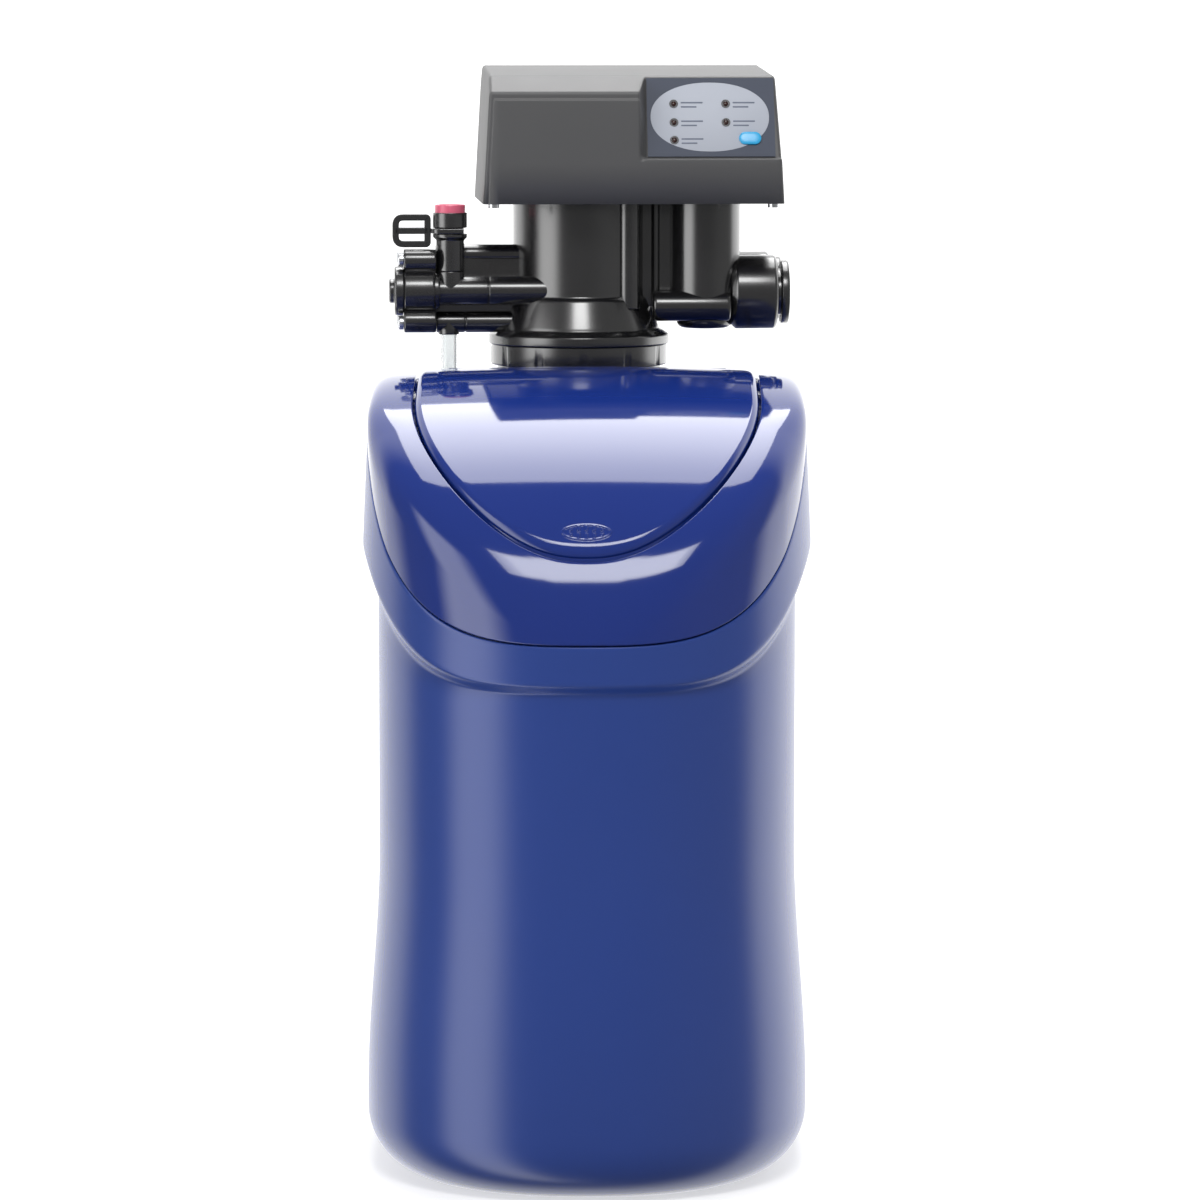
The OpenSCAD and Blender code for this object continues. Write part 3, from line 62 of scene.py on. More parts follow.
# Cabinet
CABINET_W, CABINET_D, BOW_D = 245.0, 400.0, 130.0
FRONT_Y = -CABINET_D / 2
BOW_Y = FRONT_Y + BOW_D
TAIL_D = CABINET_D - BOW_D
FRONT_ROUND, REAR_ROUND, PANEL_ROUND = 2.3, 6.0, 12.0
WALL, FOOT_R = 4.0, 34.0
WAIST_IN, BASE_IN, WAIST_Z, BASE_Z = 8.0, 1.3, 178.0, 45.0
BAND_Z, BAND_RISE, BAND_RUN = 274.5, 40.0, 110.0
BAND_PROUD, BAND_FLANK_PROUD, BAND_SOFT, BAND_FLANK_SOFT = 6.0, 2.6, 7.0, 27.0
SHOULDER_Z, SHOULDER_DRAFT = 345.0, 0.045
SEAM_FRONT_Z, SEAM_SIDE_Z, SEAM_GAP = 301.5, 413.0, 0.8
SEAM_RUN, SEAM_RISE, SEAM_POWER, SEAM_LEVEL = 65.0, 51.2, 1.45, 6.0
FOOT_STEPS, WAIST_STEPS, SWELL_STEPS, SHOULDER_STEPS = 14, 32, 14, 12
RIM_SHARE = 0.3

# Cover, lid and deck
CREST_Z, TOP_BASE_Z, TAIL_FALL, CROWN, CROWN_HALF = 435.0, 295.0, 0.08, 1.8, 94.0
TOP_REACH = -FRONT_Y - WAIST_IN + BAND_PROUD + 0.6
COVER_EDGE, COVER_EDGE_SHARE, COVER_BLEND = 18.0, 0.6, 4
COVER_SPREAD, COVER_SPREAD_MOST, COVER_FALL = 1.6, 0.95, 2.5
OPENING_A, OPENING_F, OPENING_R = CABINET_W / 2 - 27.0, BOW_D - 15.0, TAIL_D - 28.0
SKIN, LEDGE_DROP, LEDGE_W = 3.0, 10.0, 5.0
TONGUE_T, TONGUE_L, TONGUE_IN = 2.5, 8.0, 4.3
LID_GAP, LID_PROUD, LID_EDGE, LID_TAIL_Y, LID_HEM = 1.2, 2.2, 4.0, 6.0, 0.3
GRIP_Y, GRIP_HALF_W, GRIP_HALF_D, GRIP_HALF_L = -176.2, 13.9, 3.3, 5.5
GRIP_RIM, GRIP_RIM_IN, GRIP_RIM_HALF, GRIP_RIB, GRIP_PITCH = 0.36, 1.0, 0.55, 0.4, 0.3
GRIP_PROUD, GRIP_BURIED = 0.02, 1.2
DECK_DROP, DECK_GAP, DECK_FRONT_Y, DECK_HOLE_R, DECK_HEM = 2.6, 1.0, 20.0, 49.0, 0.4
GROMMET_BORE, GROMMET_R, GROMMET_LOW, GROMMET_HIGH = 4.9, 8.4, 1.0, 1.6
TUBE_R, TUBE_BORE, TUBE_BEND, TUBE_Z = 4.75, 3.55, 38.0, 394.0
TUBE_END_X, TUBE_END_Y, TUBE_GRIP = -53.0, -36.0, 10.0

# Valve, in its own frame: the vessel's axis, turned to the right
TANK_X, TANK_Y, VALVE_YAW = -5.0, 92.0, math.radians(3.5)
NECK_Z, COLLAR_Z, FLANGE_Z, SKIRT_Z, HEAD_Z = 433.0, 445.0, 452.5, 472.0, 527.0
COLLAR_R, FLANGE_R, SKIRT_R, COLUMN_R, SPIGOT_R, NECK_R = 50.6, 52.0, 40.0, 38.0, 32.4, 43.0
NOTCHES, NOTCH_IN, NOTCH_H, NOTCH_SOFT = 12, 1.0, 4.5, 1.5
POST_X, POST_R, PORT_R, PORT_Z, PORT_END, PORT_STUB = 72.0, 20.4, 15.7, 474.4, 86.0, 18.0
INLET_Y, OUTLET_Y, OUTLET_START, PORT_BORE = -8.0, 40.0, 15.0, 10.0
CAP_R, CAP_L, PIPE_BORE, COLLET_WALL = 21.2, 27.0, 11.2, 2.0
WEB_HALF, WEB_EDGE, ARM_END = 4.0, 0.6, -30.0
RIB_R, RIB_OUT, RIB_TURN, PIN_R, PIN_X = 6.5, 37.5, math.radians(-44), 2.4, 43.4
FEED_R, FEED_X, FEED_AHEAD, FEED_BELOW = 8.6, 41.0, 13.4, 7.3
PARTING_IN, PARTING_HALF = 0.6, 2.0
DRAIN_Y, DRAIN_Z, DRAIN_R, DRAIN_SEAM = -24.0, 476.4, 8.3, -53.0
UPPER_Y, UPPER_Z, UPPER_R = -9.0, 496.6, 5.6
LOWER_Y, LOWER_Z, LOWER_R, LOWER_SEAM, BRINE_X = -14.0, 458.0, 6.0, -66.0, -75.6
BLOCK_LEFT, BLOCK_RIGHT, BLOCK_FRONT, BLOCK_BACK = -102.0, -83.0, -37.0, -3.0
BLOCK_LOW, BLOCK_TOP, SCREW_OUT, SCREW_IN = 452.6, 500.5, 11.0, 6.0
BARREL_R, BARREL_NECK_R, BARREL_EDGE = 13.0, 10.6, 1.4
# Radius and height of the block's two round ribs, and the rounding of its edges
BLOCK_RIBS, BLOCK_EDGE = ((6.6, BLOCK_LOW + 6.8), (6.4, BLOCK_TOP - 6.6)), 1.2
SOCKET_X, SOCKET_R, SOCKET_Z, SOCKET_TOP = -75.0, 9.9, 487.7, 521.0
STEM_R, GROOVE_Z, GROOVE_H, GROOVE_R = SOCKET_R - 1.8, 509.0, 3.4, 8.0
HOSE_R, RELEASE_H = 6.35, 4.6
CLIP_LEFT, CLIP_RIGHT, CLIP_HALF_H, CLIP_HOOP_X, CLIP_TIP = -106.1, -87.9, 7.6, -84.8, 7.4

# Timer head, with heights from its underside
HEAD_LEFT, HEAD_RIGHT, HEAD_HALF_D, HEAD_FRONT_H, HEAD_REAR_H = 57.6, 113.0, 65.0, 63.0, 77.0
HEAD_DRAFT, HEAD_MIDDLE = math.tan(math.radians(3.2)), 35.0
KNEE_D, KNEE_H, REAR_BEVEL = 22.0, 9.0, 8.0
PAD_IN, PAD_LOW, PAD_HIGH, BORDER_X, BORDER_RUN = 0.7, 58.4, 59.4, 2.5, 0.9
PANEL_X, PANEL_LIP, PANEL_RECESS, PANEL_LEAN = 34.8, 25.6, 4.0, math.radians(19)
RECESS_X, RECESS_RUN, FACE_HEIGHTS = 30.0, 5.4, (52.0, 54.0)
# Runs of profiles across the head, from the left border to the right border: start, end and count
HEAD_RUNS = (-48, 29.5, 16), (RECESS_X, 35.4, 16), (38, 103, 14)
PANEL_T, PRINT_BURIED, PRINT_T, BAR_T, PRINT_EDGE = 0.8, 0.1, 0.06, 0.1, 0.03
OVAL_AT, OVAL_HALF, OVAL_POWER = (36.4, 24.2), (33.6, 20.4), 2.15
BAR_X, BAR_UP, BAR_PITCH, BAR_HALF, BAR_LENGTHS = 4.0, 0.7, 2.5, 0.45, (12.5, 9.0)
LENSES = ((16, 32), (16, 21), (16, 10.5), (45.5, 32), (45.5, 21))
LENS_R = 1.6
BUTTON_AT, BUTTON_HALF, BUTTON_R = (59.0, 11.5), 2.6, 3.7
# The button's rings from its middle outwards: share of its outline, and height over the panel
BUTTON_RINGS = ((0.08, 2.2), (0.3, 2.19), (0.5, 2.17), (0.7, 2.12), (0.84, 2.02), (0.92, 1.9), (0.97, 1.75),
                (1.0, 1.5), (1.0, PANEL_T + PRINT_T))

# Stage, in metres
LAMP_AIM, FRONT_PLACE, FRONT_POWER = (0, 0, 0.38), (0.10, -1.75, 2.05), 10
FRONT_BOXES = (("front_core", 0.64, 0.50), ("front_box", 0.79, 0.56), ("front_edge", 0.94, 0.62))
TOP_PLACE, TOP_AIM, TOP_W, TOP_L, TOP_POWER = (0.0, 0.90, 2.10), (0, 0.90, 0), 0.9, 1.88, 30
SENSOR_MM, FLOOR_REACH, VIEW_REACH = 36.0, 40.0, 100
# Fades are start, end, low and high, as faded() takes them
FLOOR_FADE, SHEET_FADE, RIGHT_FADE = (0.3, 3.0, 0.6, 0.95), (0.10, 0.46, 0.26, 1.6), (0.2, 0.9, 1.0, 1.45)
BOX_NEAR_FADE = math.radians(28), math.radians(48), 0.0, 1.0
BOX_FAR_FADE = math.radians(66), math.radians(82), 1.0, 0.0
BOX_TOP_FADE, SHEET_LEAN = (0.45, 0.6, 3.2, 0.0), 0.12


def length(name, description, default):
    """A size in metres that a user can change."""
    return FloatProperty(name=name, description=description, default=default, unit="LENGTH")


def tint(name, description, default):
    """A colour that a user can change."""
    return FloatVectorProperty(name=name, description=description, default=default, subtype="COLOR")


def factor(name, description, default):
    """A share from 0 to 1 that a user can change."""
    return FloatProperty(name=name, description=description, default=default, min=0, max=1, subtype="FACTOR")


class SoftenerForm(bpy.types.PropertyGroup):
    """Sizes of the dressed pieces that a user would change."""

    outline_steps: IntProperty(
        name="Outline steps", description="Points round the cabinet, cover and lid",
        default=440, min=80, max=640)
    turned_steps: IntProperty(
        name="Turned steps", description="Points round a turned piece", default=96, min=24, max=256)
    shell_edge: length("Shell edge", "Rounding along the shells' rims", 0.0009)
    moulded_edge: length("Moulded edge", "Rounding of the valve's edges", 0.0008)
    head_edge: length("Head edge", "Rounding of the timer head's side edges", 0.002)
    head_wall: length("Head wall", "Wall thickness of the timer head's cover", 0.0022)


class SoftenerFinish(bpy.types.PropertyGroup):
    """Colours and finishes that a user would change."""

    shell_blue: tint("Cabinet blue", "Satin blue of the cabinet", (0.0175, 0.047, 0.230))
    cover_blue: tint("Cover blue", "Gloss blue of cover, lid and deck", (0.009, 0.027, 0.185))
    valve_black: tint("Valve black", "Filled plastic of the valve", (0.009, 0.009, 0.0095))
    head_grey: tint("Head charcoal", "Textured plastic of the timer head", (0.075, 0.075, 0.077))
    film_slate: tint("Film slate", "Ground of the control panel's film", (0.043, 0.053, 0.082))
    film_pale: tint("Film pale", "Printed oval on the film", (0.40, 0.425, 0.485))
    collet_red: tint("Collet red", "Release collet on the drain", (0.70, 0.13, 0.21))
    button_blue: tint("Button blue", "Press button on the panel", (0.03, 0.36, 0.66))
    shell_rough: factor("Cabinet roughness", "Roughness of the satin cabinet", 0.26)
    cover_rough: factor("Cover roughness", "Roughness of the gloss cover", 0.07)


class SoftenerStage(bpy.types.PropertyGroup):
    """Camera and studio values that a user would change."""

    camera_x: length("Camera side", "Sideways place of the camera", 0.0072)
    camera_distance: length("Camera distance", "Distance in front of the origin", 3.1)
    camera_height: length("Camera height", "Height over the floor", 0.64)
    camera_pitch: FloatProperty(
        name="Camera pitch", description="Downward tilt", default=math.radians(6.16), subtype="ANGLE")
    camera_lens: FloatProperty(
        name="Lens", description="Focal length in millimetres", default=166.0, unit="CAMERA")
    floor_white: tint("Floor", "Colour of the plain floor", (0.55, 0.55, 0.55))


def form():
    """The sizes of this scene."""
    return bpy.context.scene.softener_form


def shell_edge():
    """The rounding of the shells' rims in millimetres."""
    return form().shell_edge / MM


# Arrays and meshes


def shift(x, y, z):
    """A move by x, y and z."""
    m = np.eye(4)
    m[:3, 3] = (x, y, z)
    return m


def turn(axes):
    """A turn whose columns say where x, y and z go."""
    m = np.eye(4)
    m[:3, :3] = np.array(axes, float).T
    return m


def about_x(angle):
    """A turn about x."""
    c, s = math.cos(angle), math.sin(angle)
    return turn(((1, 0, 0), (0, c, s), (0, -s, c)))


def about_z(angle):
    """A turn about z."""
    c, s = math.cos(angle), math.sin(angle)
    return turn(((c, s, 0), (-s, c, 0), (0, 0, 1)))


ALONG_X = turn(((0, 0, -1), (0, 1, 0), (1, 0, 0)))
VALVE = shift(TANK_X, TANK_Y, 0) @ about_z(VALVE_YAW)
PANEL = (VALVE @ shift(PANEL_X, PANEL_RECESS - HEAD_HALF_D, HEAD_Z + PANEL_LIP)
         @ about_x(math.pi / 2 - PANEL_LEAN))


def placed(place, points):
    """Points carried by a place: the turned point plus the move."""
    return np.asarray(points, float) @ place[:3, :3].T + place[:3, 3]


def stacked(x, y, z):
    """Rows of points from arrays of coordinates."""
    return np.stack(np.broadcast_arrays(x, y, z), -1)


def shares(steps):
    """Even shares of a run after its start, as a column."""
    return np.linspace(0, 1, steps)[1:, None]


def round_turns(steps):
    """Even angles round a circle."""
    return np.linspace(0, 2 * np.pi, steps, endpoint=False)


def spow(v, p):
    """A power that keeps the sign."""
    return np.sign(v) * np.abs(v) ** p


def ramp(v):
    """A smooth step: 3u^2 - 2u^3 between 0 and 1."""
    u = np.clip(v, 0, 1)
    return u * u * (3 - 2 * u)


def grid_faces(rows, cols, wrap_rows, wrap_cols):
    """Quads of a grid stored row by row: each point with its neighbours right, up-right and up."""
    r = np.arange(rows if wrap_rows else rows - 1)[:, None]
    c = np.arange(cols if wrap_cols else cols - 1)[None, :]
    up, right = (r + 1) % rows, (c + 1) % cols
    return np.stack([r * cols + c, r * cols + right, up * cols + right, up * cols + c], -1).reshape(-1, 4)


def fan(centre, rim):
    """Triangles from a middle point to each edge of a closed ring of point numbers."""
    return np.stack([np.full(len(rim), centre), rim, np.roll(rim, -1)], 1)


def outward(points, faces):
    """Turns the faces round where the signed volume, the sum of a . (b x c) / 6, is negative."""
    volume = 0.0
    for group in faces:
        for k in range(1, group.shape[1] - 1):
            a, b, c = points[group[:, 0]], points[group[:, k]], points[group[:, k + 1]]
            volume += np.einsum("ij,ij->", a, np.cross(b, c)) / 6
    return points, faces if volume > 0 else [group[:, ::-1] for group in faces]


def loft(rows, poles=None):
    """A closed surface through closed rows of points, ended by two middle points or joined into a loop."""
    count, n = rows.shape[:2]
    points = rows.reshape(-1, 3)
    faces = [grid_faces(count, n, poles is None, True)]
    if poles is not None:
        rim = np.arange(n)
        faces.append(np.concatenate([fan(count * n, rim[::-1]), fan(count * n + 1, rim + (count - 1) * n)]))
        points = np.concatenate([points, np.asarray(poles, float)])
    return outward(points, faces)


def rounded(corners, radii, steps=5, closed=True):
    """Rounds an outline's corners: corner c becomes (1-t)^2 p + 2t(1-t) c + t^2 q, where p and q lie a
    radius before and after it, or nearly half way along a short side. An open outline keeps its two ends."""
    c = np.asarray(corners, float)
    before, after = np.roll(c, 1, -2) - c, np.roll(c, -1, -2) - c
    long_b, long_a = np.linalg.norm(before, axis=-1), np.linalg.norm(after, axis=-1)
    reach = np.minimum(np.broadcast_to(radii, long_a.shape), 0.48 * np.minimum(long_a, long_b))
    p = c + before * (reach / long_b)[..., None]
    q = c + after * (reach / long_a)[..., None]
    t = np.linspace(0, 1, steps)[:, None]
    curve = (1 - t) ** 2 * p[..., None, :] + 2 * t * (1 - t) * c[..., None, :] + t ** 2 * q[..., None, :]
    if closed:
        return curve.reshape(*c.shape[:-2], -1, c.shape[-1])
    middle = curve[..., 1:-1, :, :].reshape(*c.shape[:-2], -1, c.shape[-1])
    return np.concatenate([c[..., :1, :], middle, c[..., -1:, :]], -2)


def round_rows(r, h, a):
    """Rows of a turned form: x = r cos a, y = r sin a, z = h."""
    return np.stack([r * np.cos(a), r * np.sin(a), h + 0 * a], -1)


def turned(corners, radii, place, steps=None, soft=5):
    """Rounds corners (radius, height) and turns them round a place's z axis. A profile that starts on the
    axis also ends there and is closed by its two ends, and any other is a ring."""
    solid = corners[0][0] == 0
    profile = rounded(corners, radii, soft, closed=not solid)
    r, h = (profile[1:-1] if solid else profile).T[:, :, None]
    rows = round_rows(r, h, round_turns(steps or form().turned_steps))
    poles = placed(place, [[0, 0, profile[0, 1]], [0, 0, profile[-1, 1]]]) if solid else None
    return loft(placed(place, rows), poles)


def plug(radius, low, high, place, edge=None, steps=None):
    """A turned round bar from low to high along a place's z axis, with both rims rounded."""
    edge = form().moulded_edge / MM if edge is None else edge
    return turned(((0, low), (radius, low), (radius, high), (0, high)), edge, place, steps)


def ring(inner, outer, low, high, place, edge=None, steps=None):
    """A turned collar between two radii, with its four rims rounded."""
    edge = form().moulded_edge / MM if edge is None else edge
    return turned(((inner, low), (outer, low), (outer, high), (inner, high)), edge, place, steps)


def drawn_in(outline, by):
    """A closed outline moved towards its inside along its normals, for an outline that runs anticlockwise."""
    along = np.roll(outline, -1, 0) - np.roll(outline, 1, 0)
    along /= np.linalg.norm(along, axis=1)[:, None]
    return outline + by * np.stack([-along[:, 1], along[:, 0]], 1)


def slab(outline, low, high, edge, place, steps=5):
    """Raises an outline from low to high: a rim's ring at angle a is drawn in by e(1 - sin a) and lies
    e(1 - cos a) from the face."""
    a = np.linspace(0, np.pi / 2, steps)
    flat = np.stack([drawn_in(outline, edge * (1 - s)) for s in np.sin(a)])
    lift = np.broadcast_to((edge * (1 - np.cos(a)))[:, None, None], (steps, len(outline), 1))
    lower = np.concatenate([flat, low + lift], -1)
    upper = np.concatenate([flat, high - lift], -1)[::-1]
    middle = outline.mean(0)
    poles = [[*middle, low], [*middle, high]]
    return loft(placed(place, np.concatenate([lower, upper])), placed(place, poles))


def box_outline(x0, y0, x1, y1, r, steps=6):
    """A rectangle with round corners, anticlockwise."""
    return rounded(((x0, y0), (x1, y0), (x1, y1), (x0, y1)), r, steps)


def oval_outline(middle, half, power, steps):
    """A superellipse about a middle: x = a |cos t|^(2/n), y = b |sin t|^(2/n), with the signs kept."""
    t = round_turns(steps)
    return np.array(middle) + np.array(half) * spow(np.stack([np.cos(t), np.sin(t)], 1), 2 / power)


def circle(radius, steps):
    """A round section."""
    a = round_turns(steps)
    return radius * np.stack([np.cos(a), np.sin(a)], 1)


def swept_rows(path, section, up, closed=False):
    """Rows of a section carried along a path: each section point (s, w) becomes path + s side + w lift, where
    side is the path's direction crossed with up, and lift is side crossed with the direction."""
    along = np.roll(path, -1, 0) - np.roll(path, 1, 0) if closed else np.gradient(path, axis=0)
    along /= np.linalg.norm(along, axis=1)[:, None]
    side = np.cross(along, up)
    side /= np.linalg.norm(side, axis=1)[:, None]
    lift = np.cross(side, along)
    return path[:, None] + side[:, None] * section[None, :, :1] + lift[:, None] * section[None, :, 1:]


def swept(path, section, up, closed=False):
    """A section carried along a path, with flat ends or joined into a loop."""
    return loft(swept_rows(path, section, up, closed), None if closed else path[[0, -1]])


def put(name, parts, finish_name, body=ROOT, replaced=(), sharp=38.0):
    """Joins parts of points and faces into one mesh at the origin, in metres, with its finish and body."""
    points, faces, start = [], [], 0
    for part_points, part_faces in parts:
        points.append(part_points)
        for group in part_faces:
            faces.extend((group + start).tolist())
        start += len(part_points)
    mesh = bpy.data.meshes.new(name)
    mesh.from_pydata((np.concatenate(points) * MM).tolist(), [], faces)
    mesh.shade_smooth()
    mesh.set_sharp_from_angle(angle=math.radians(sharp))
    mesh.materials.append(bpy.data.materials["dressed_" + finish_name])
    piece = bpy.data.objects.new(name, mesh)
    bpy.context.scene.collection.objects.link(piece)
    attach(piece, body)
    if replaced:
        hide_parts(*replaced)
    return piece


# Forms of the cabinet


def turns():
    """Turns round an outline in degrees, the front half from -180 to 0 and the rear half from 0 to 180,
    spaced so that the shoulder outline's points lie evenly along it."""
    fine = np.linspace(-180, 180, 20001)
    x, y = plan(fine, 0)
    run = np.concatenate([[0], np.cumsum(np.hypot(np.diff(x), np.diff(y)))])
    even = np.linspace(0, run[-1], form().outline_steps, endpoint=False)
    return np.interp(even, run, fine)


def corner(w, n, low):
    """A quarter of a box with round corners, |u|^n + |v|^n = 1, in even steps along its flank and its end."""
    c = 0.5 ** (1 / n)
    on_flank = w < 0.5
    v = np.where(on_flank, low + (c - low) * 2 * w, 2 * c * (1 - w))
    u = (1 - np.abs(v) ** n) ** (1 / n)
    return np.where(on_flank, u, v), np.where(on_flank, v, u)


def oval(t, a, f, r, mid, nf, nr, low=0.0):
    """A plan outline: a superellipse of power nf in front of mid, and a round-cornered box of power nr
    behind."""
    rad = np.radians(t)
    u, v = corner(np.clip(1 - np.abs(t - 90) / 90, 0, 1), nr, low)
    rear = t > 0
    x = a * np.where(rear, np.where(t < 90, u, -u), spow(np.cos(rad), 2 / nf))
    y = mid + np.where(rear, r * v, -f * np.abs(np.sin(rad)) ** (2 / nf))
    return x, y


def plan(t, out):
    """The cabinet's shoulder outline, moved outwards."""
    return oval(t, CABINET_W / 2 + out, BOW_D + out, TAIL_D + out, BOW_Y, FRONT_ROUND, REAR_ROUND)


def seam_z(y):
    """Height of the seam under the cover: a power curve up from the front that levels off along the sides."""
    q = SEAM_RISE * (np.maximum(0, y - FRONT_Y) / SEAM_RUN) ** SEAM_POWER
    h = SEAM_SIDE_Z - SEAM_FRONT_Z
    return SEAM_FRONT_Z + h * q / (h ** SEAM_LEVEL + q ** SEAM_LEVEL) ** (1 / SEAM_LEVEL)


def band_z(y):
    """Height of the shoulder band's lower edge."""
    return BAND_Z + BAND_RISE * ramp((y - FRONT_Y) / BAND_RUN)


def flank(y):
    """How far round the flank a depth lies, from 0 at the front to 1."""
    return ramp((y - FRONT_Y) / BOW_D)


def band_step(y):
    """Height over which the band swells out."""
    return BAND_SOFT + BAND_FLANK_SOFT * flank(y)


def wall_off(z, y):
    """Offset of the wall from the shoulder outline: the foot's swell, the band's swell and the draft."""
    foot = (WAIST_IN - BASE_IN) * ramp((WAIST_Z - z) / (WAIST_Z - BASE_Z)) - WAIST_IN
    band = (BAND_PROUD + BAND_FLANK_PROUD * flank(y)) * ramp((z - band_z(y)) / band_step(y))
    return foot + band - SHOULDER_DRAFT * np.maximum(0, z - SHOULDER_Z)


def top_z(x, y):
    """Height of the cover: a quarter ellipse up to the crest, then a gentle fall, less a crown across."""
    front = TOP_BASE_Z + (CREST_Z - TOP_BASE_Z) * np.sqrt(np.maximum(0, 1 - (y / TOP_REACH) ** 2))
    return np.where(y < 0, front, CREST_Z - TAIL_FALL * y) - CROWN * (x / CROWN_HALF) ** 2


def below_top(x, y, drop):
    """Points straight below the cover's form."""
    return stacked(x, y, top_z(x, y) - drop)


def wall_rows(t, back):
    """The cabinet's wall from the foot to the seam, drawn in by back: the foot's quarter round, the waist up
    to the band, the band's swell, and the shoulder."""
    y = plan(t, 0)[1]
    a = np.radians(np.linspace(0, 90, FOOT_STEPS))[:, None]
    low, swell, seam = band_z(y), band_step(y), seam_z(y)
    z = np.concatenate([
        FOOT_R - (FOOT_R - back) * np.cos(a) + 0 * y,
        FOOT_R + (low - FOOT_R) * shares(WAIST_STEPS),
        low + swell * shares(SWELL_STEPS),
        low + swell + (seam - low - swell) * shares(SHOULDER_STEPS)])
    inset = np.full_like(z, back)
    inset[:FOOT_STEPS] += (FOOT_R - back) * (1 - np.sin(a))
    return stacked(*plan(t, wall_off(z, y) - inset), z)


def rim_row(t, lift, back):
    """A row along the seam, lifted and drawn in."""
    y = plan(t, 0)[1]
    z = seam_z(y)
    return stacked(*plan(t, wall_off(z, y) - back), z + lift)


def opening(t, inset):
    """The outline of the cover's opening, drawn in."""
    return oval(t, OPENING_A - inset, OPENING_F - inset, OPENING_R - inset, BOW_Y, FRONT_ROUND, PANEL_ROUND)


def rim_steps():
    """A quarter round as shares (across, down), from the flat face to the wall."""
    a = np.radians(np.linspace(0, 90, 6))
    return list(zip(1 - np.sin(a), 1 - np.cos(a)))


def cover_rows(t):
    """The cover as a loop of rows: up its wall, over the soft edge, along the top to the opening, down to the
    ledge, and back inside to the tongue. At share s the soft edge lies c r s^2 inwards, with c the spread,
    and r (1 - s)^f below the top, with f the fall. Its size r is the smaller of its full size and a share
    of the wall's height, blended by powers."""
    e = shell_edge()
    y = plan(t, 0)[1]
    seam = seam_z(y)
    w = np.stack(plan(t, wall_off(seam, y)), -1)
    q = np.stack(opening(t, -e), -1)
    run = np.linalg.norm(q - w, axis=-1)
    high = COVER_EDGE_SHARE * (top_z(*w.T) - seam - SEAM_GAP)
    r = (COVER_EDGE ** -COVER_BLEND + high ** -COVER_BLEND) ** (-1 / COVER_BLEND)
    soft = np.minimum(COVER_SPREAD, COVER_SPREAD_MOST * run / r) * r / run
    s, flat = np.linspace(0, 1, 22)[:, None], shares(14)
    part = np.concatenate([soft * s ** 2, soft + (1 - soft) * flat])
    drop = np.concatenate([r * (1 - s) ** COVER_FALL, 0 * run * flat])
    p = w + (q - w) * part[..., None]
    top = below_top(p[..., 0], p[..., 1], drop)
    far = TONGUE_IN + TONGUE_T
    inner = np.stack(plan(t, wall_off(seam, y) - far), -1)
    share = np.array([1.0, 0.7, 0.4])[:, None, None]
    under = inner + (np.stack(opening(t, -SKIN), -1) - inner) * share
    under = below_top(under[..., 0], under[..., 1], SKIN + r * (1 - share[..., 0]))
    outer = [rim_row(t, SEAM_GAP + e * down, e * across) for across, down in rim_steps()]
    ledge = [(-e * across, e * down) for across, down in rim_steps()[1:]]
    below = LEDGE_DROP + SKIN
    ledge += [(0, LEDGE_DROP), (LEDGE_W, LEDGE_DROP), (LEDGE_W, below), (-SKIN, below)]
    ledge = [below_top(*opening(t, inset), fall) for inset, fall in ledge]
    tongue = [rim_row(t, -TONGUE_L, far), rim_row(t, -TONGUE_L, TONGUE_IN), rim_row(t, SEAM_GAP, TONGUE_IN)]
    return np.concatenate([np.stack(outer), top, np.stack(ledge), under, np.stack(tongue)])


def over_top(x, y, lift):
    """Points over the cover's form, moved along its normal (-dz/dx, -dz/dy, 1) by a lift."""
    h = 0.05
    fall_x = (top_z(x - h, y) - top_z(x + h, y)) / (2 * h)
    ahead = (top_z(x, y - h) - top_z(x, np.minimum(y + h, 0))) / (h + np.minimum(h, -y))
    fall_y = np.where(y < 0, ahead, 0.0)
    long = np.sqrt(fall_x ** 2 + fall_y ** 2 + 1)
    return stacked(x + lift * fall_x / long, y + lift * fall_y / long, top_z(x, y) + lift / long)


def over_spot(y, lift):
    """A point on the middle line, over the cover's form along its normal."""
    return over_top(np.array([0.0]), np.array([y]), lift)[0]


def lid_outline(t, inset, share):
    """The lid's outline, drawn in and shrunk towards its middle."""
    x, y = oval(t, OPENING_A - LID_GAP - inset, OPENING_F - LID_GAP - inset, LID_TAIL_Y - BOW_Y - inset,
                BOW_Y, FRONT_ROUND, PANEL_ROUND)
    return x * share, BOW_Y + (y - BOW_Y) * share


def lid_row(t, inset, share, drop):
    """A row of the lid's inside, straight below the cover's form."""
    return below_top(*lid_outline(t, inset, share), drop)


def lid_rows(t):
    """The lid from the middle of its top, over its round edge, round its hem, and back to its middle below.
    Its face lies off the cover's form along the normal, so that its lip stands out on the steep front too."""
    e = shell_edge()
    hem, under = LEDGE_DROP - LID_HEM, SKIN - LID_PROUD
    top = [over_top(*lid_outline(t, LID_EDGE, s), LID_PROUD) for s in np.linspace(0.03, 1, 40)]
    edge = [over_top(*lid_outline(t, LID_EDGE * (1 - math.cos(a)), 1),
                     LID_PROUD - LID_EDGE * (1 - math.sin(a)))
            for a in np.radians(np.linspace(90, 0, 16)[1:])]
    foot = [lid_row(t, e * across, 1, hem - e * down) for across, down in rim_steps()[::-1]]
    foot += [lid_row(t, LID_EDGE - e, 1, hem), lid_row(t, LID_EDGE, 1, hem - e)]
    below = [lid_row(t, LID_EDGE, s, under) for s in np.linspace(1, 0.05, 14)]
    return np.stack(top + edge + foot + below), (over_spot(BOW_Y, LID_PROUD), below_top(0.0, BOW_Y, under))


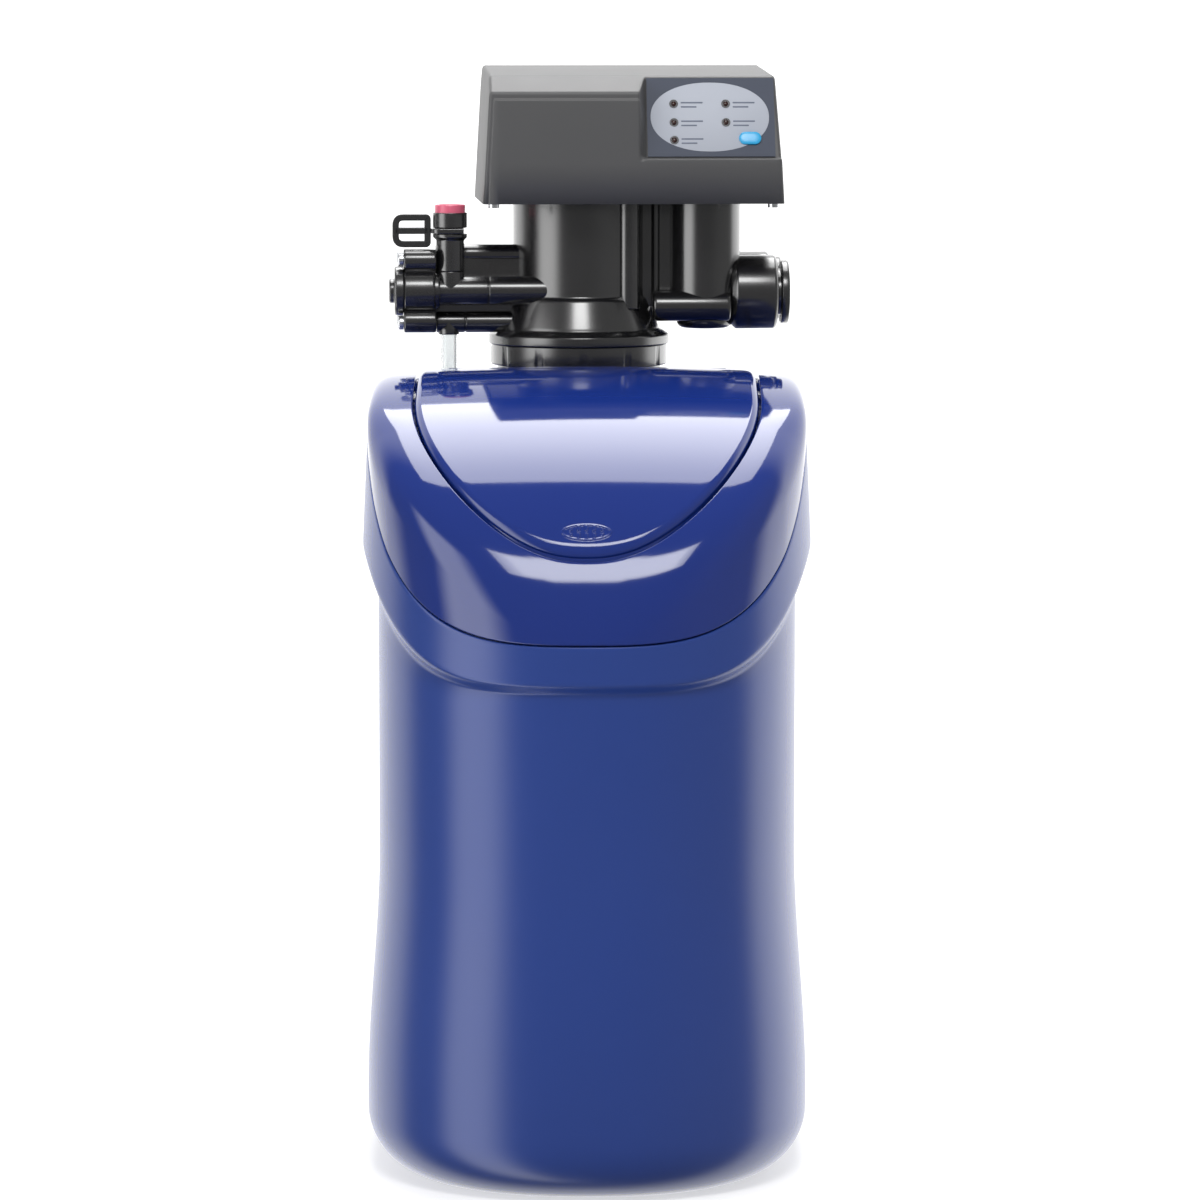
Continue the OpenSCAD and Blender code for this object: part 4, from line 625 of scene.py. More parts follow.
def grip_rows(steps):
    """A thumb grip on the lid's front slope: an oval rim round pairs of upright ribs. A point at share s of
    the oval lies (1 - s) / sqrt((cos a / half width)^2 + (sin a / half length)^2) inside its edge. The rim is
    a bell of that distance, and the ribs are a cosine across, broken along the middle and inside the rim."""
    a = round_turns(steps)
    s = np.linspace(0.02, 1, 64)[:, None]
    u, v = s * np.cos(a), s * np.sin(a)
    x, y = GRIP_HALF_W * u, GRIP_Y + GRIP_HALF_D * v
    inside = (1 - s) / np.hypot(np.cos(a) / GRIP_HALF_W, np.sin(a) / GRIP_HALF_L)
    rim = GRIP_RIM * np.exp(-((inside - GRIP_RIM_IN) / GRIP_RIM_HALF) ** 2)
    rib = GRIP_RIB * ramp((np.cos(2 * np.pi * u / GRIP_PITCH) - 0.1) / 0.5)
    rib = rib * ramp((np.abs(v) - 0.08) / 0.1) * ramp((0.8 - s) / 0.1)
    high, low = LID_PROUD + GRIP_PROUD, LID_PROUD - GRIP_BURIED
    rows = np.concatenate([over_top(x, y, high + rim + rib), over_top(x, y, low + 0 * rim)[::-1]])
    return rows, (over_spot(GRIP_Y, high), over_spot(GRIP_Y, low))


def deck_row(t, inset, drop):
    """A row of the deck: straight across its front, and along the cover's opening behind."""
    back, front = DECK_GAP + inset, DECK_FRONT_Y + inset
    half, reach = OPENING_A - back, OPENING_R - back
    x, y = oval(t, half, OPENING_F, reach, BOW_Y, FRONT_ROUND, PANEL_ROUND, (front - BOW_Y) / reach)
    ahead = t <= 0
    return below_top(np.where(ahead, half * np.cos(np.radians(t)), x), np.where(ahead, front, y), drop)


def deck_hole_row(t, grow, drop):
    """A row round the deck's hole for the vessel's neck."""
    a, r = np.radians(t), DECK_HOLE_R + grow
    return below_top(TANK_X + r * np.cos(a), TANK_Y + r * np.sin(a), drop)


def deck_rows(t):
    """The deck as a loop of rows: its hem, its rim, its top to the hole, and its underside."""
    e = shell_edge()
    knee, hem, under = RIM_SHARE * e, LEDGE_DROP - DECK_HEM, DECK_DROP + SKIN
    rim = [deck_row(t, 0, hem), deck_row(t, 0, DECK_DROP + e), deck_row(t, knee, DECK_DROP + knee)]
    outer, inner = deck_row(t, e, DECK_DROP), deck_hole_row(t, e, DECK_DROP)
    top = outer + (inner - outer) * np.linspace(0, 1, 12)[:, None, None]
    top[..., 2] = top_z(top[..., 0], top[..., 1]) - DECK_DROP
    hole = [deck_hole_row(t, knee, DECK_DROP + knee), deck_hole_row(t, 0, DECK_DROP + e),
            deck_hole_row(t, 0, under), deck_row(t, SKIN, under), deck_row(t, SKIN, hem)]
    return np.concatenate([np.stack(rim), top, np.stack(hole)])


def brine_spot():
    """Where the brine tube comes down from the valve."""
    return placed(VALVE, (BRINE_X, LOWER_Y, 0))[:2]


class OBJECT_OT_softener_cabinet(bpy.types.Operator):
    """Build the satin cabinet as one smooth shell"""

    bl_idname = "object.softener_cabinet"
    bl_label = "Cabinet"

    def execute(self, context):
        t = turns()
        e = shell_edge()
        knee = RIM_SHARE * e
        outer, inner = wall_rows(t, 0), wall_rows(t, WALL)[::-1]
        outer[-1] = rim_row(t, -e, 0)
        inner[0] = rim_row(t, -e, WALL)
        rim = [rim_row(t, -knee, knee), rim_row(t, 0, e),
               rim_row(t, 0, WALL - e), rim_row(t, -knee, WALL - knee)]
        rows = np.concatenate([outer, np.stack(rim), inner])
        put("cabinet_shell", [loft(rows, ((0, 0, 0), (0, 0, WALL)))], "satin_blue", replaced=["cabinet_body"])
        return {"FINISHED"}


class OBJECT_OT_softener_cover(bpy.types.Operator):
    """Build the gloss top cover with its round shoulder"""

    bl_idname = "object.softener_cover"
    bl_label = "Top cover"

    def execute(self, context):
        put("cover_shell", [loft(cover_rows(turns()))], "gloss_blue", replaced=["top_cover"])
        return {"FINISHED"}


class OBJECT_OT_softener_lid(bpy.types.Operator):
    """Build the salt lid and its thumb grip"""

    bl_idname = "object.softener_lid"
    bl_label = "Salt lid"

    def execute(self, context):
        put("lid_shell", [loft(*lid_rows(turns()))], "gloss_blue", "lid", ["salt_lid"])
        put("lid_thumb_grip", [loft(*grip_rows(240))], "gloss_blue", "lid", sharp=60)
        return {"FINISHED"}


class OBJECT_OT_softener_deck(bpy.types.Operator):
    """Build the rear deck round the vessel's neck"""

    bl_idname = "object.softener_deck"
    bl_label = "Rear deck"

    def execute(self, context):
        put("deck_shell", [loft(deck_rows(turns()))], "gloss_blue", replaced=["rear_deck"])
        x, y = brine_spot()
        place = shift(x, y, float(top_z(x, y)) - DECK_DROP)
        grommet = ring(GROMMET_BORE, GROMMET_R, -GROMMET_LOW, GROMMET_HIGH, place, steps=48)
        put("deck_grommet", [grommet], "seal_rubber")
        return {"FINISHED"}


class OBJECT_OT_softener_tube(bpy.types.Operator):
    """Build the clear brine tube from the connector down to the brine well"""

    bl_idname = "object.softener_tube"
    bl_label = "Brine tube"

    def execute(self, context):
        x, y = brine_spot()
        turn_y, turn_z = y - TUBE_BEND, TUBE_Z + TUBE_BEND
        a = np.linspace(0, np.pi / 2, 24)
        u = np.linspace(0, 1, 30)[1:]
        path = np.concatenate([
            stacked(x, y, np.linspace(FLANGE_Z + 4, turn_z, 6)[:-1]),
            stacked(x, turn_y + TUBE_BEND * np.cos(a), turn_z - TUBE_BEND * np.sin(a)),
            stacked(x + (TUBE_END_X - x) * ramp(u), turn_y + (TUBE_END_Y + TUBE_GRIP - turn_y) * u, TUBE_Z),
            [[TUBE_END_X, TUBE_END_Y, TUBE_Z]]])
        outer, inner = (swept_rows(path, circle(r, 32), (1, 0, 0)) for r in (TUBE_R, TUBE_BORE))
        put("brine_hose", [loft(np.concatenate([outer, inner[::-1]]))], "clear_tube", replaced=["brine_tube"])
        return {"FINISHED"}


# Valve pieces


def on_axis(x, y, z):
    """A place in the valve whose z axis lies along the valve's x axis."""
    return VALVE @ shift(x, y, z) @ ALONG_X


def bar(radius, x0, x1, y, z, edge=None):
    """A round bar along the valve's x axis."""
    return plug(radius, x0, x1, on_axis(0, y, z), edge)


class OBJECT_OT_softener_valve(bpy.types.Operator):
    """Build the valve body: flange, skirt, column, post, webs and tubes"""

    bl_idname = "object.softener_valve"
    bl_label = "Valve body"

    def execute(self, context):
        column = (
            (0, COLLAR_Z), (FLANGE_R, COLLAR_Z), (FLANGE_R, FLANGE_Z - 2.0), (FLANGE_R - 4, FLANGE_Z + 0.4),
            (SKIRT_R + 6.5, FLANGE_Z + 0.8), (SKIRT_R + 6, FLANGE_Z + 2.6), (SKIRT_R, SKIRT_Z - 1.2),
            (COLUMN_R, SKIRT_Z + 0.6), (COLUMN_R, HEAD_Z), (0, HEAD_Z))
        post = (
            (0, FLANGE_Z + 1.4), (POST_R - 4, FLANGE_Z + 1.4), (POST_R - 4, PORT_Z - 9), (POST_R, PORT_Z - 5),
            (POST_R, HEAD_Z), (0, HEAD_Z))
        web = box_outline(COLUMN_R - 8, INLET_Y - WEB_HALF, POST_X - 8, INLET_Y + WEB_HALF, 0.8)
        arm_web = box_outline(BLOCK_RIGHT - 2, LOWER_Y, ARM_END, UPPER_Y, 0.8)
        rib_place = VALVE @ shift(RIB_OUT * math.cos(RIB_TURN), RIB_OUT * math.sin(RIB_TURN), 0)
        top = HEAD_Z - 0.2
        parts = [
            turned(column, (0, 0.8, 0.9, 1.2, 0.8, 1.2, 1.2, 1.2, 0.6, 0), VALVE),
            turned(post, (0, 6.5, 2.5, 2.5, 0.6, 0), VALVE @ shift(POST_X, INLET_Y, 0), soft=8),
            slab(web, PORT_Z - 8, top, WEB_EDGE, VALVE),
            plug(RIB_R, SKIRT_Z - 6, top, rib_place, 0.4, 48),
            plug(PIN_R, PORT_Z - 6, top, VALVE @ shift(PIN_X, INLET_Y - WEB_HALF, 0), 0.4, 32),
            bar(DRAIN_R, DRAIN_SEAM, -8, DRAIN_Y, DRAIN_Z),
            self.parting(DRAIN_R, DRAIN_SEAM, DRAIN_Y, DRAIN_Z),
            bar(UPPER_R, BLOCK_RIGHT, ARM_END, UPPER_Y, UPPER_Z),
            bar(LOWER_R, LOWER_SEAM, ARM_END, LOWER_Y, LOWER_Z),
            self.parting(LOWER_R, LOWER_SEAM, LOWER_Y, LOWER_Z),
            slab(arm_web, LOWER_Z, UPPER_Z, WEB_EDGE, VALVE),
            bar(FEED_R, FEED_X, PORT_END, INLET_Y - FEED_AHEAD, PORT_Z - FEED_BELOW, 2.4)]
        for y, start in ((INLET_Y, POST_X), (OUTLET_Y, OUTLET_START)):
            stub = on_axis(0, y, PORT_Z)
            parts.append(bar(PORT_R, start, PORT_END, y, PORT_Z))
            parts.append(ring(PORT_BORE, PORT_R - 2, PORT_END - 6, PORT_END + PORT_STUB, stub))
        put("valve_casting", parts, "black_plastic", replaced=["valve_body"])
        return {"FINISHED"}

    def parting(self, radius, x, y, z):
        """The short slimmer length where an arm meets the fitting on its end."""
        return bar(radius - PARTING_IN, x - PARTING_HALF, x + PARTING_HALF, y, z)


class OBJECT_OT_softener_collar(bpy.types.Operator):
    """Build the tank collar with grip notches round its rim"""

    bl_idname = "object.softener_collar"
    bl_label = "Tank collar"

    def execute(self, context):
        a = round_turns(384)
        cut = ramp((np.cos(NOTCHES * a) - 0.8) / 0.14)
        r, h = box_outline(SPIGOT_R, NECK_Z, COLLAR_R, COLLAR_Z, 0.9, 5).T[:, :, None]
        r = r - NOTCH_IN * cut * ramp((NECK_Z + NOTCH_H - h) / NOTCH_SOFT) * (r > COLLAR_R - 2)
        upper = loft(placed(VALVE, round_rows(r, h, a)))
        lower = ring(NECK_R + 0.2, NECK_R + 4, NECK_Z - 14, NECK_Z, VALVE)
        put("collar_ring", [upper, lower], "black_plastic", replaced=["tank_collar"])
        return {"FINISHED"}


class OBJECT_OT_softener_injector(bpy.types.Operator):
    """Build the injector block with its ribs, end plate and screws, and the brine connector"""

    bl_idname = "object.softener_injector"
    bl_label = "Injector"

    def execute(self, context):
        core = box_outline(BLOCK_LEFT + 0.4, BLOCK_FRONT + 6, BLOCK_RIGHT - 0.4, BLOCK_BACK, 2.2)
        left, right, rib_y = BLOCK_LEFT + 0.2, BLOCK_RIGHT - 0.2, BLOCK_FRONT + 8
        parts = [
            slab(core, BLOCK_LOW + 1, BLOCK_TOP - 0.8, BLOCK_EDGE, VALVE),
            bar(BARREL_R, BLOCK_LEFT, BLOCK_RIGHT - 1, DRAIN_Y, DRAIN_Z, BARREL_EDGE),
            bar(BARREL_NECK_R, BLOCK_RIGHT - 2, BLOCK_RIGHT + 2, DRAIN_Y, DRAIN_Z, BLOCK_EDGE),
            bar(DRAIN_R, BLOCK_RIGHT - 2, DRAIN_SEAM - 0.3, DRAIN_Y, DRAIN_Z),
            plug(STEM_R, DRAIN_Z, SOCKET_Z, VALVE @ shift(SOCKET_X, DRAIN_Y, 0)),
            *(bar(r, left, right, rib_y, z, BLOCK_EDGE) for r, z in BLOCK_RIBS)]
        put("injector_block", parts, "black_plastic", replaced=["injector_body"])
        cap = turned(((0, -8), (7, -8), (7, -5), (14, -5), (14, 0), (0, 0)), (0, 1, 0.6, 1.2, 0.3, 0),
                     on_axis(BLOCK_LEFT, DRAIN_Y, DRAIN_Z))
        put("injector_plate", [cap], "black_plastic", replaced=["injector_cap"])
        head = (0, -2.0), (1.9, -2.0), (2.1, -3.2), (4, -3.0), (4, 0), (2, 0), (2, 8), (0, 8)
        middle = (BLOCK_FRONT + BLOCK_BACK) / 2
        heads = [turned(head, (0, 0.2, 0.2, 0.9, 0.1, 0.1, 0.3, 0), on_axis(BLOCK_LEFT, y, z), 40)
                 for z in (BLOCK_LOW + SCREW_IN, BLOCK_TOP - SCREW_IN)
                 for y in (middle - SCREW_OUT, middle + SCREW_OUT)]
        put("injector_screw_heads", heads, "steel", replaced=["injector_screws"])
        low = FLANGE_Z - 1.6
        elbow = turned(((0, low), (LOWER_R, low), (LOWER_R, LOWER_Z), (0, LOWER_Z)), (0, 0.6, 0.2, 0),
                       VALVE @ shift(BRINE_X, LOWER_Y, 0), 56)
        arm = bar(LOWER_R, BLOCK_RIGHT + 0.3, LOWER_SEAM - 0.3, LOWER_Y, LOWER_Z)
        put("brine_elbow", [elbow, arm], "black_plastic", replaced=["brine_connector"])
        return {"FINISHED"}


class OBJECT_OT_softener_drain(bpy.types.Operator):
    """Build the drain push-fit: socket, release collet and horseshoe clip"""

    bl_idname = "object.softener_drain"
    bl_label = "Drain fitting"

    def execute(self, context):
        place = VALVE @ shift(SOCKET_X, DRAIN_Y, 0)
        cup, bore, mouth = HOSE_R + 1.1, DRAIN_R / 2, SOCKET_R - 1.0
        step, floor, above = SOCKET_TOP - 5.0, SOCKET_Z + 8, GROOVE_Z + GROOVE_H
        socket = (
            (bore, SOCKET_Z), (STEM_R, SOCKET_Z), (STEM_R, GROOVE_Z - 3.6), (SOCKET_R, GROOVE_Z - 2.0),
            (SOCKET_R, GROOVE_Z), (GROOVE_R, GROOVE_Z), (GROOVE_R, above), (SOCKET_R, above),
            (SOCKET_R, SOCKET_TOP), (mouth, SOCKET_TOP), (mouth, step), (cup, step), (cup, floor),
            (bore, floor))
        put("drain_socket_body", [turned(socket, 0.5, place)], "black_plastic", replaced=["drain_socket"])
        low, ledge, high = SOCKET_TOP - 12, step + 2.3, SOCKET_TOP + RELEASE_H
        collet = (
            (HOSE_R, low), (cup - 0.2, low), (cup - 0.2, ledge), (mouth - 0.2, ledge), (mouth - 0.2, high),
            (HOSE_R, high))
        put("drain_release", [turned(collet, (0.2, 0.2, 0.3, 0.4, 1.0, 0.6), place)], "red_plastic",
            "drain_collet", ["drain_collet"])
        put("drain_clip_frame", self.clip_parts(), "black_plastic", "drain_clip", ["drain_clip"])
        return {"FINISHED"}

    def clip_parts(self):
        """The clip: a round-cornered frame, a bar across it, and a horseshoe whose prongs hold the groove."""
        face = VALVE @ shift(0, DRAIN_Y, GROOVE_Z + GROOVE_H / 2)
        out, up = face[:3, 1], face[:3, 2]
        thick = box_outline(-1.9, -1.5, 1.9, 1.5, 0.45, 4)
        slim = box_outline(-1.25, -1.4, 1.25, 1.4, 0.5, 4)
        flat = box_outline(CLIP_LEFT, -CLIP_HALF_H, CLIP_RIGHT, CLIP_HALF_H, (4.5, 1.2, 1.2, 4.5), 8)
        tip, reach = SOCKET_X + CLIP_TIP, GROOVE_R + 1.6
        hoop = rounded(((tip, -reach), (CLIP_HOOP_X, -reach), (CLIP_HOOP_X, reach), (tip, reach)),
                       (0.1, 4.5, 4.5, 0.1), 10, closed=False)
        outline = placed(face, stacked(flat[:, 0], 0.0, flat[:, 1]))
        across = placed(face, stacked(np.linspace(CLIP_LEFT, CLIP_RIGHT, 8), 0.0, 0.0))
        prongs = placed(face, stacked(hoop[:, 0], hoop[:, 1], 0.0))
        return [swept(outline, thick, out, True), swept(across, thick, out), swept(prongs, slim, up)]


class OBJECT_OT_softener_ports(bpy.types.Operator):
    """Build the twist caps and release collets on the two pipe ports"""

    bl_idname = "object.softener_ports"
    bl_label = "Pipe ports"

    def execute(self, context):
        x = PORT_END + 0.3
        end, sleeve, flange = x + CAP_L, PIPE_BORE + COLLET_WALL, CAP_R - 3
        start, lip, face = x + PORT_STUB + 4.8, end + 2.3, end + 6.8
        cap = ((sleeve + 0.7, x), (CAP_R - 3.2, x), (CAP_R, x + 3.4), (CAP_R, end - 1.5), (CAP_R - 1.5, end),
               (sleeve + 0.2, end))
        collet = ((PIPE_BORE, start), (sleeve, start), (sleeve, lip), (flange, lip), (flange, face),
                  (PIPE_BORE, face))
        for name, y in (("inlet", INLET_Y), ("outlet", OUTLET_Y)):
            place = on_axis(0, y, PORT_Z)
            put(name + "_cap_ring", [turned(cap, (0.3, 0.8, 1.0, 0.7, 0.7, 0.5), place)], "black_plastic",
                name + "_cap", [name + "_cap"])
            put(name + "_release", [turned(collet, (0.3, 0.3, 0.4, 0.8, 1.2, 0.8), place)], "black_plastic",
                name + "_collet", [name + "_collet"])
        return {"FINISHED"}


# Timer head


def head_profile(share):
    """Front-to-rear profiles (depth, height) of the head, blended from the plain front, share 0, to the
    recess that holds the panel, share 1: a pad, a knee and a flat top, with every corner rounded."""
    front, pad, inner = -HEAD_HALF_D, -HEAD_HALF_D + PAD_IN, -HEAD_HALF_D + PANEL_RECESS
    slope, lean = KNEE_H / KNEE_D, math.tan(PANEL_LEAN)
    meet = (inner + lean * (HEAD_FRONT_H - slope * front - PANEL_LIP)) / (1 - lean * slope)
    shared = ((front + KNEE_D, HEAD_FRONT_H + KNEE_H), (HEAD_HALF_D - REAR_BEVEL, HEAD_REAR_H),
              (HEAD_HALF_D, HEAD_REAR_H - REAR_BEVEL), (HEAD_HALF_D, 0))
    on_panel = [(inner + lean * (z - PANEL_LIP), z) for z in FACE_HEIGHTS]
    plain = ((front, 0), (front, PANEL_LIP - 2), (front, PANEL_LIP + 2), (front, PAD_LOW), (pad, PAD_HIGH),
             (pad, HEAD_FRONT_H), *shared)
    recess = ((front, 0), (front, PANEL_LIP), (inner, PANEL_LIP + 0.02), *on_panel,
              (meet, HEAD_FRONT_H + slope * (meet - front)), *shared)
    s = np.asarray(share, float)[:, None, None]
    corners = (1 - s) * np.array(plain) + s * np.array(recess)
    return rounded(corners, (0.1, 1.1, 0.9, 0.6, 0.6, 2.4, 3.0, 3.0, 3.0, 0.1), 6, closed=False)


def head_mesh():
    """The head's outer skin, open below: profiles set side by side from the left wall to the right wall. At
    angle a, a side's edge is shrunk to the middle by e(1 - sin a) and lies e(1 - cos a) from the wall, which
    leans."""
    e = form().head_edge / MM
    a = np.radians(np.linspace(0, 90, 9))
    near = np.concatenate([e * (1 - np.cos(a)), [2.5, 2.8, 3.1, 3.4]])
    inset = np.concatenate([e * (1 - np.sin(a)), np.zeros(4)])
    middle = np.concatenate([np.linspace(*run) for run in HEAD_RUNS])
    side = np.concatenate([np.full(len(near), -1), np.zeros(len(middle)), np.full(len(near), 1)])[:, None]
    along = np.concatenate([near, middle, near[::-1]])[:, None]
    inward = np.concatenate([inset, 0 * middle, inset[::-1]])[:, None]
    share = np.where(side < 0, 0, np.where(side > 0, 1, ramp((along - RECESS_X) / RECESS_RUN)))[:, 0]
    profile = head_profile(share) * (1 - inward[..., None] / np.array([HEAD_HALF_D, HEAD_REAR_H]))
    y, z = profile[..., 0], np.maximum(profile[..., 1], 0)
    x = np.where(side < 0, along - HEAD_LEFT + HEAD_DRAFT * z,
                 np.where(side > 0, HEAD_RIGHT - along - HEAD_DRAFT * z, along))
    border = np.where(side < 0, 1 - ramp((along - BORDER_X) / BORDER_RUN), 0)
    y = np.maximum(y, (PAD_IN * border - HEAD_HALF_D) * (1 - inward / HEAD_HALF_D))
    points = stacked(x, y, z + HEAD_Z)
    count, n = points.shape[:2]
    lean, level = HEAD_DRAFT * HEAD_MIDDLE, HEAD_Z + HEAD_MIDDLE
    ends = np.array([[lean - HEAD_LEFT, 0, level], [HEAD_RIGHT - lean, 0, level]])
    row = np.arange(n)
    faces = [grid_faces(count, n, False, False)[:, ::-1],
             np.concatenate([fan(count * n, row), fan(count * n + 1, row[::-1] + (count - 1) * n)])]
    return placed(VALVE, np.concatenate([points.reshape(-1, 3), ends])), faces


class OBJECT_OT_softener_head(bpy.types.Operator):
    """Build the timer head's cover"""

    bl_idname = "object.softener_head"
    bl_label = "Timer head"

    def execute(self, context):
        piece = put("head_cover", [head_mesh()], "charcoal_plastic", replaced=["control_cover"], sharp=50)
        wall = piece.modifiers.new("Wall", "SOLIDIFY")
        wall.thickness = form().head_wall
        wall.offset = -1
        return {"FINISHED"}


class OBJECT_OT_softener_panel(bpy.types.Operator):
    """Build the control panel's print, lenses and button"""

    bl_idname = "object.softener_panel"
    bl_label = "Control panel"

    def execute(self, context):
        oval_print = slab(oval_outline(OVAL_AT, OVAL_HALF, OVAL_POWER, 160), PANEL_T - PRINT_BURIED,
                          PANEL_T + PRINT_T, PRINT_EDGE, PANEL, 3)
        put("panel_oval", [oval_print], "film_print")
        bars, lenses, bezels = [], [], []
        for u, v in LENSES:
            for k, long in enumerate(BAR_LENGTHS):
                y = v + BAR_UP - BAR_PITCH * k
                outline = box_outline(u + BAR_X, y - BAR_HALF, u + BAR_X + long, y + BAR_HALF, 0.4)
                bars.append(slab(outline, PANEL_T, PANEL_T + BAR_T, PRINT_EDGE, PANEL, 3))
            place = PANEL @ shift(u, v, 0)
            lens = (0, -2), (LENS_R, -2), (LENS_R, PANEL_T + 0.5), (0, PANEL_T + 0.9)
            lenses.append(turned(lens, (0, 0.1, 0.7, 0), place, 40))
            bezels.append(ring(LENS_R + 0.05, LENS_R + 0.9, PANEL_T - 0.1, PANEL_T + 0.35, place, 0.18, 40))
        put("panel_bars", bars, "film_mark")
        put("panel_lenses", lenses, "lens_clear", replaced=["led_lenses"])
        put("panel_bezels", bezels, "charcoal_plastic")
        put("panel_button", [self.button()], "button_blue", "button", ["regen_button"])
        return {"FINISHED"}

    def button(self):
        """The button: rings of a long round outline, x = r cos t + h tanh(9 cos t) and y = r sin t."""
        outline = circle(BUTTON_R, 96)
        outline[:, 0] += BUTTON_HALF * np.tanh(9 * outline[:, 0] / BUTTON_R)
        share, lift = np.array(BUTTON_RINGS).T[:, :, None]
        flat = np.array(BUTTON_AT) + outline * share[..., None]
        rows = stacked(flat[..., 0], flat[..., 1], lift)
        return loft(placed(PANEL, rows), placed(PANEL, [[*BUTTON_AT, lift[0, 0]], [*BUTTON_AT, lift[-1, 0]]]))


# Finishes


def finish_group(name, **numbers):
    """A new shader node group that takes a colour, a roughness and named numbers, and gives a colour, a
    roughness and a height. Returns its tree, inputs and outputs, and the Object coordinates in it."""
    tree = bpy.data.node_groups.new(name, "ShaderNodeTree")
    for way in ("INPUT", "OUTPUT"):
        tree.interface.new_socket("Colour", in_out=way, socket_type="NodeSocketColor")
        tree.interface.new_socket("Roughness", in_out=way, socket_type="NodeSocketFloat")
    tree.interface.new_socket("Height", in_out="OUTPUT", socket_type="NodeSocketFloat")
    for label, value in numbers.items():
        tree.interface.new_socket(label, in_out="INPUT", socket_type="NodeSocketFloat").default_value = value
    given, out = tree.nodes.new("NodeGroupInput").outputs, tree.nodes.new("NodeGroupOutput").inputs
    return tree, given, out, tree.nodes.new("ShaderNodeTexCoord").outputs["Object"]


def give(tree, out, colour, rough, height):
    """Links a group's three results to its outputs."""
    for label, socket in (("Colour", colour), ("Roughness", rough), ("Height", height)):
        tree.links.new(socket, out[label])
    return tree


def noise(tree, vector, scale, detail, rough=0.5):
    """A noise texture's factor at a scale per metre."""
    node = tree.nodes.new("ShaderNodeTexNoise")
    node.inputs["Detail"].default_value = detail
    node.inputs["Roughness"].default_value = rough
    tree.links.new(vector, node.inputs["Vector"])
    if isinstance(scale, (int, float)):
        node.inputs["Scale"].default_value = scale
    else:
        tree.links.new(scale, node.inputs["Scale"])
    return node.outputs["Fac"]


def sums(tree, kind, a, b, c=None):
    """A math node on sockets or numbers."""
    node = tree.nodes.new("ShaderNodeMath")
    node.operation = kind
    for socket, value in zip(node.inputs, (a, b, c)):
        if isinstance(value, (int, float)):
            socket.default_value = value
        elif value is not None:
            tree.links.new(value, socket)
    return node.outputs["Value"]


def shaded(tree, colour, amount):
    """A colour times an amount."""
    node = tree.nodes.new("ShaderNodeVectorMath")
    node.operation = "SCALE"
    tree.links.new(colour, node.inputs[0])
    tree.links.new(amount, node.inputs["Scale"])
    return node.outputs["Vector"]


def moulded_group():
    """Moulded plastic: slow drift of tone, sheen that wanders with the drift and with rubbed patches, and a
    fine grain for the bump."""
    tree, given, out, where = finish_group("moulded_plastic", Spread=0.08, Drift=0.12, Grain=900.0)
    slow = noise(tree, where, DRIFT_PER_M, 3.0)
    patch = noise(tree, where, PATCH_PER_M, 5.0, 0.65)
    grain = noise(tree, where, given["Grain"], 2.0)
    tone = sums(tree, "MULTIPLY_ADD", sums(tree, "SUBTRACT", slow, 0.5), given["Drift"], 1.0)
    both = sums(tree, "ADD", sums(tree, "MULTIPLY", slow, 0.5), sums(tree, "MULTIPLY", patch, 0.5))
    rub = sums(tree, "SUBTRACT", both, 0.5)
    rough = sums(tree, "MULTIPLY_ADD", rub, given["Spread"], given["Roughness"])
    return give(tree, out, shaded(tree, given["Colour"], tone), rough, grain)


def drawn_group():
    """Drawn or turned metal: fine streaks along one axis in tone and sheen."""
    tree, given, out, where = finish_group("drawn_metal")
    stretch = tree.nodes.new("ShaderNodeMapping")
    stretch.inputs["Scale"].default_value = STREAKS_PER_M
    tree.links.new(where, stretch.inputs["Vector"])
    streak = noise(tree, stretch.outputs["Vector"], 1.0, 3.0)
    tone = sums(tree, "MULTIPLY_ADD", streak, 0.25, 0.87)
    rough = sums(tree, "MULTIPLY_ADD", streak, 0.16, given["Roughness"])
    return give(tree, out, shaded(tree, given["Colour"], tone), rough, streak)


def bead_group():
    """Round beads packed together, for the resin: cells whose tone is painted lighter at each bead's middle
    and darker towards its edge, a painted shade where the beads meet, with a domed height.
    """
    tree, given, out, where = finish_group("packed_beads_painted_shade")
    cells = tree.nodes.new("ShaderNodeTexVoronoi")
    cells.inputs["Scale"].default_value = BEADS_PER_M
    tree.links.new(where, cells.inputs["Vector"])
    dome_and_painted_shade = sums(tree, "SUBTRACT", 1.0, cells.outputs["Distance"])
    # Painted shade: the tone falls from each bead's domed middle to its edge, darkening the creases between
    # beads
    tone = sums(tree, "MULTIPLY_ADD", dome_and_painted_shade, 0.7, 0.5)
    rough = sums(tree, "MULTIPLY_ADD", cells.outputs["Distance"], 0.3, given["Roughness"])
    return give(tree, out, shaded(tree, given["Colour"], tone), rough, dome_and_painted_shade)


BUMP_DEPTH = 0.0002
DRIFT_PER_M, PATCH_PER_M, STREAKS_PER_M, BEADS_PER_M = 9.0, 38.0, (60, 2600, 2600), 900
PLAIN = {}
GLOSS = {"IOR": 1.52, "Coat Weight": 0.12, "Coat Roughness": 0.05}
GLOSSY_BLACK = {"Specular IOR Level": 1.0, "Coat Weight": 0.5, "Coat Roughness": 0.12}
MATT_FILM = {"Specular IOR Level": 0.3}
CLEAR = {"Transmission Weight": 0.9, "IOR": 1.45}
METAL = {"Metallic": 1.0}

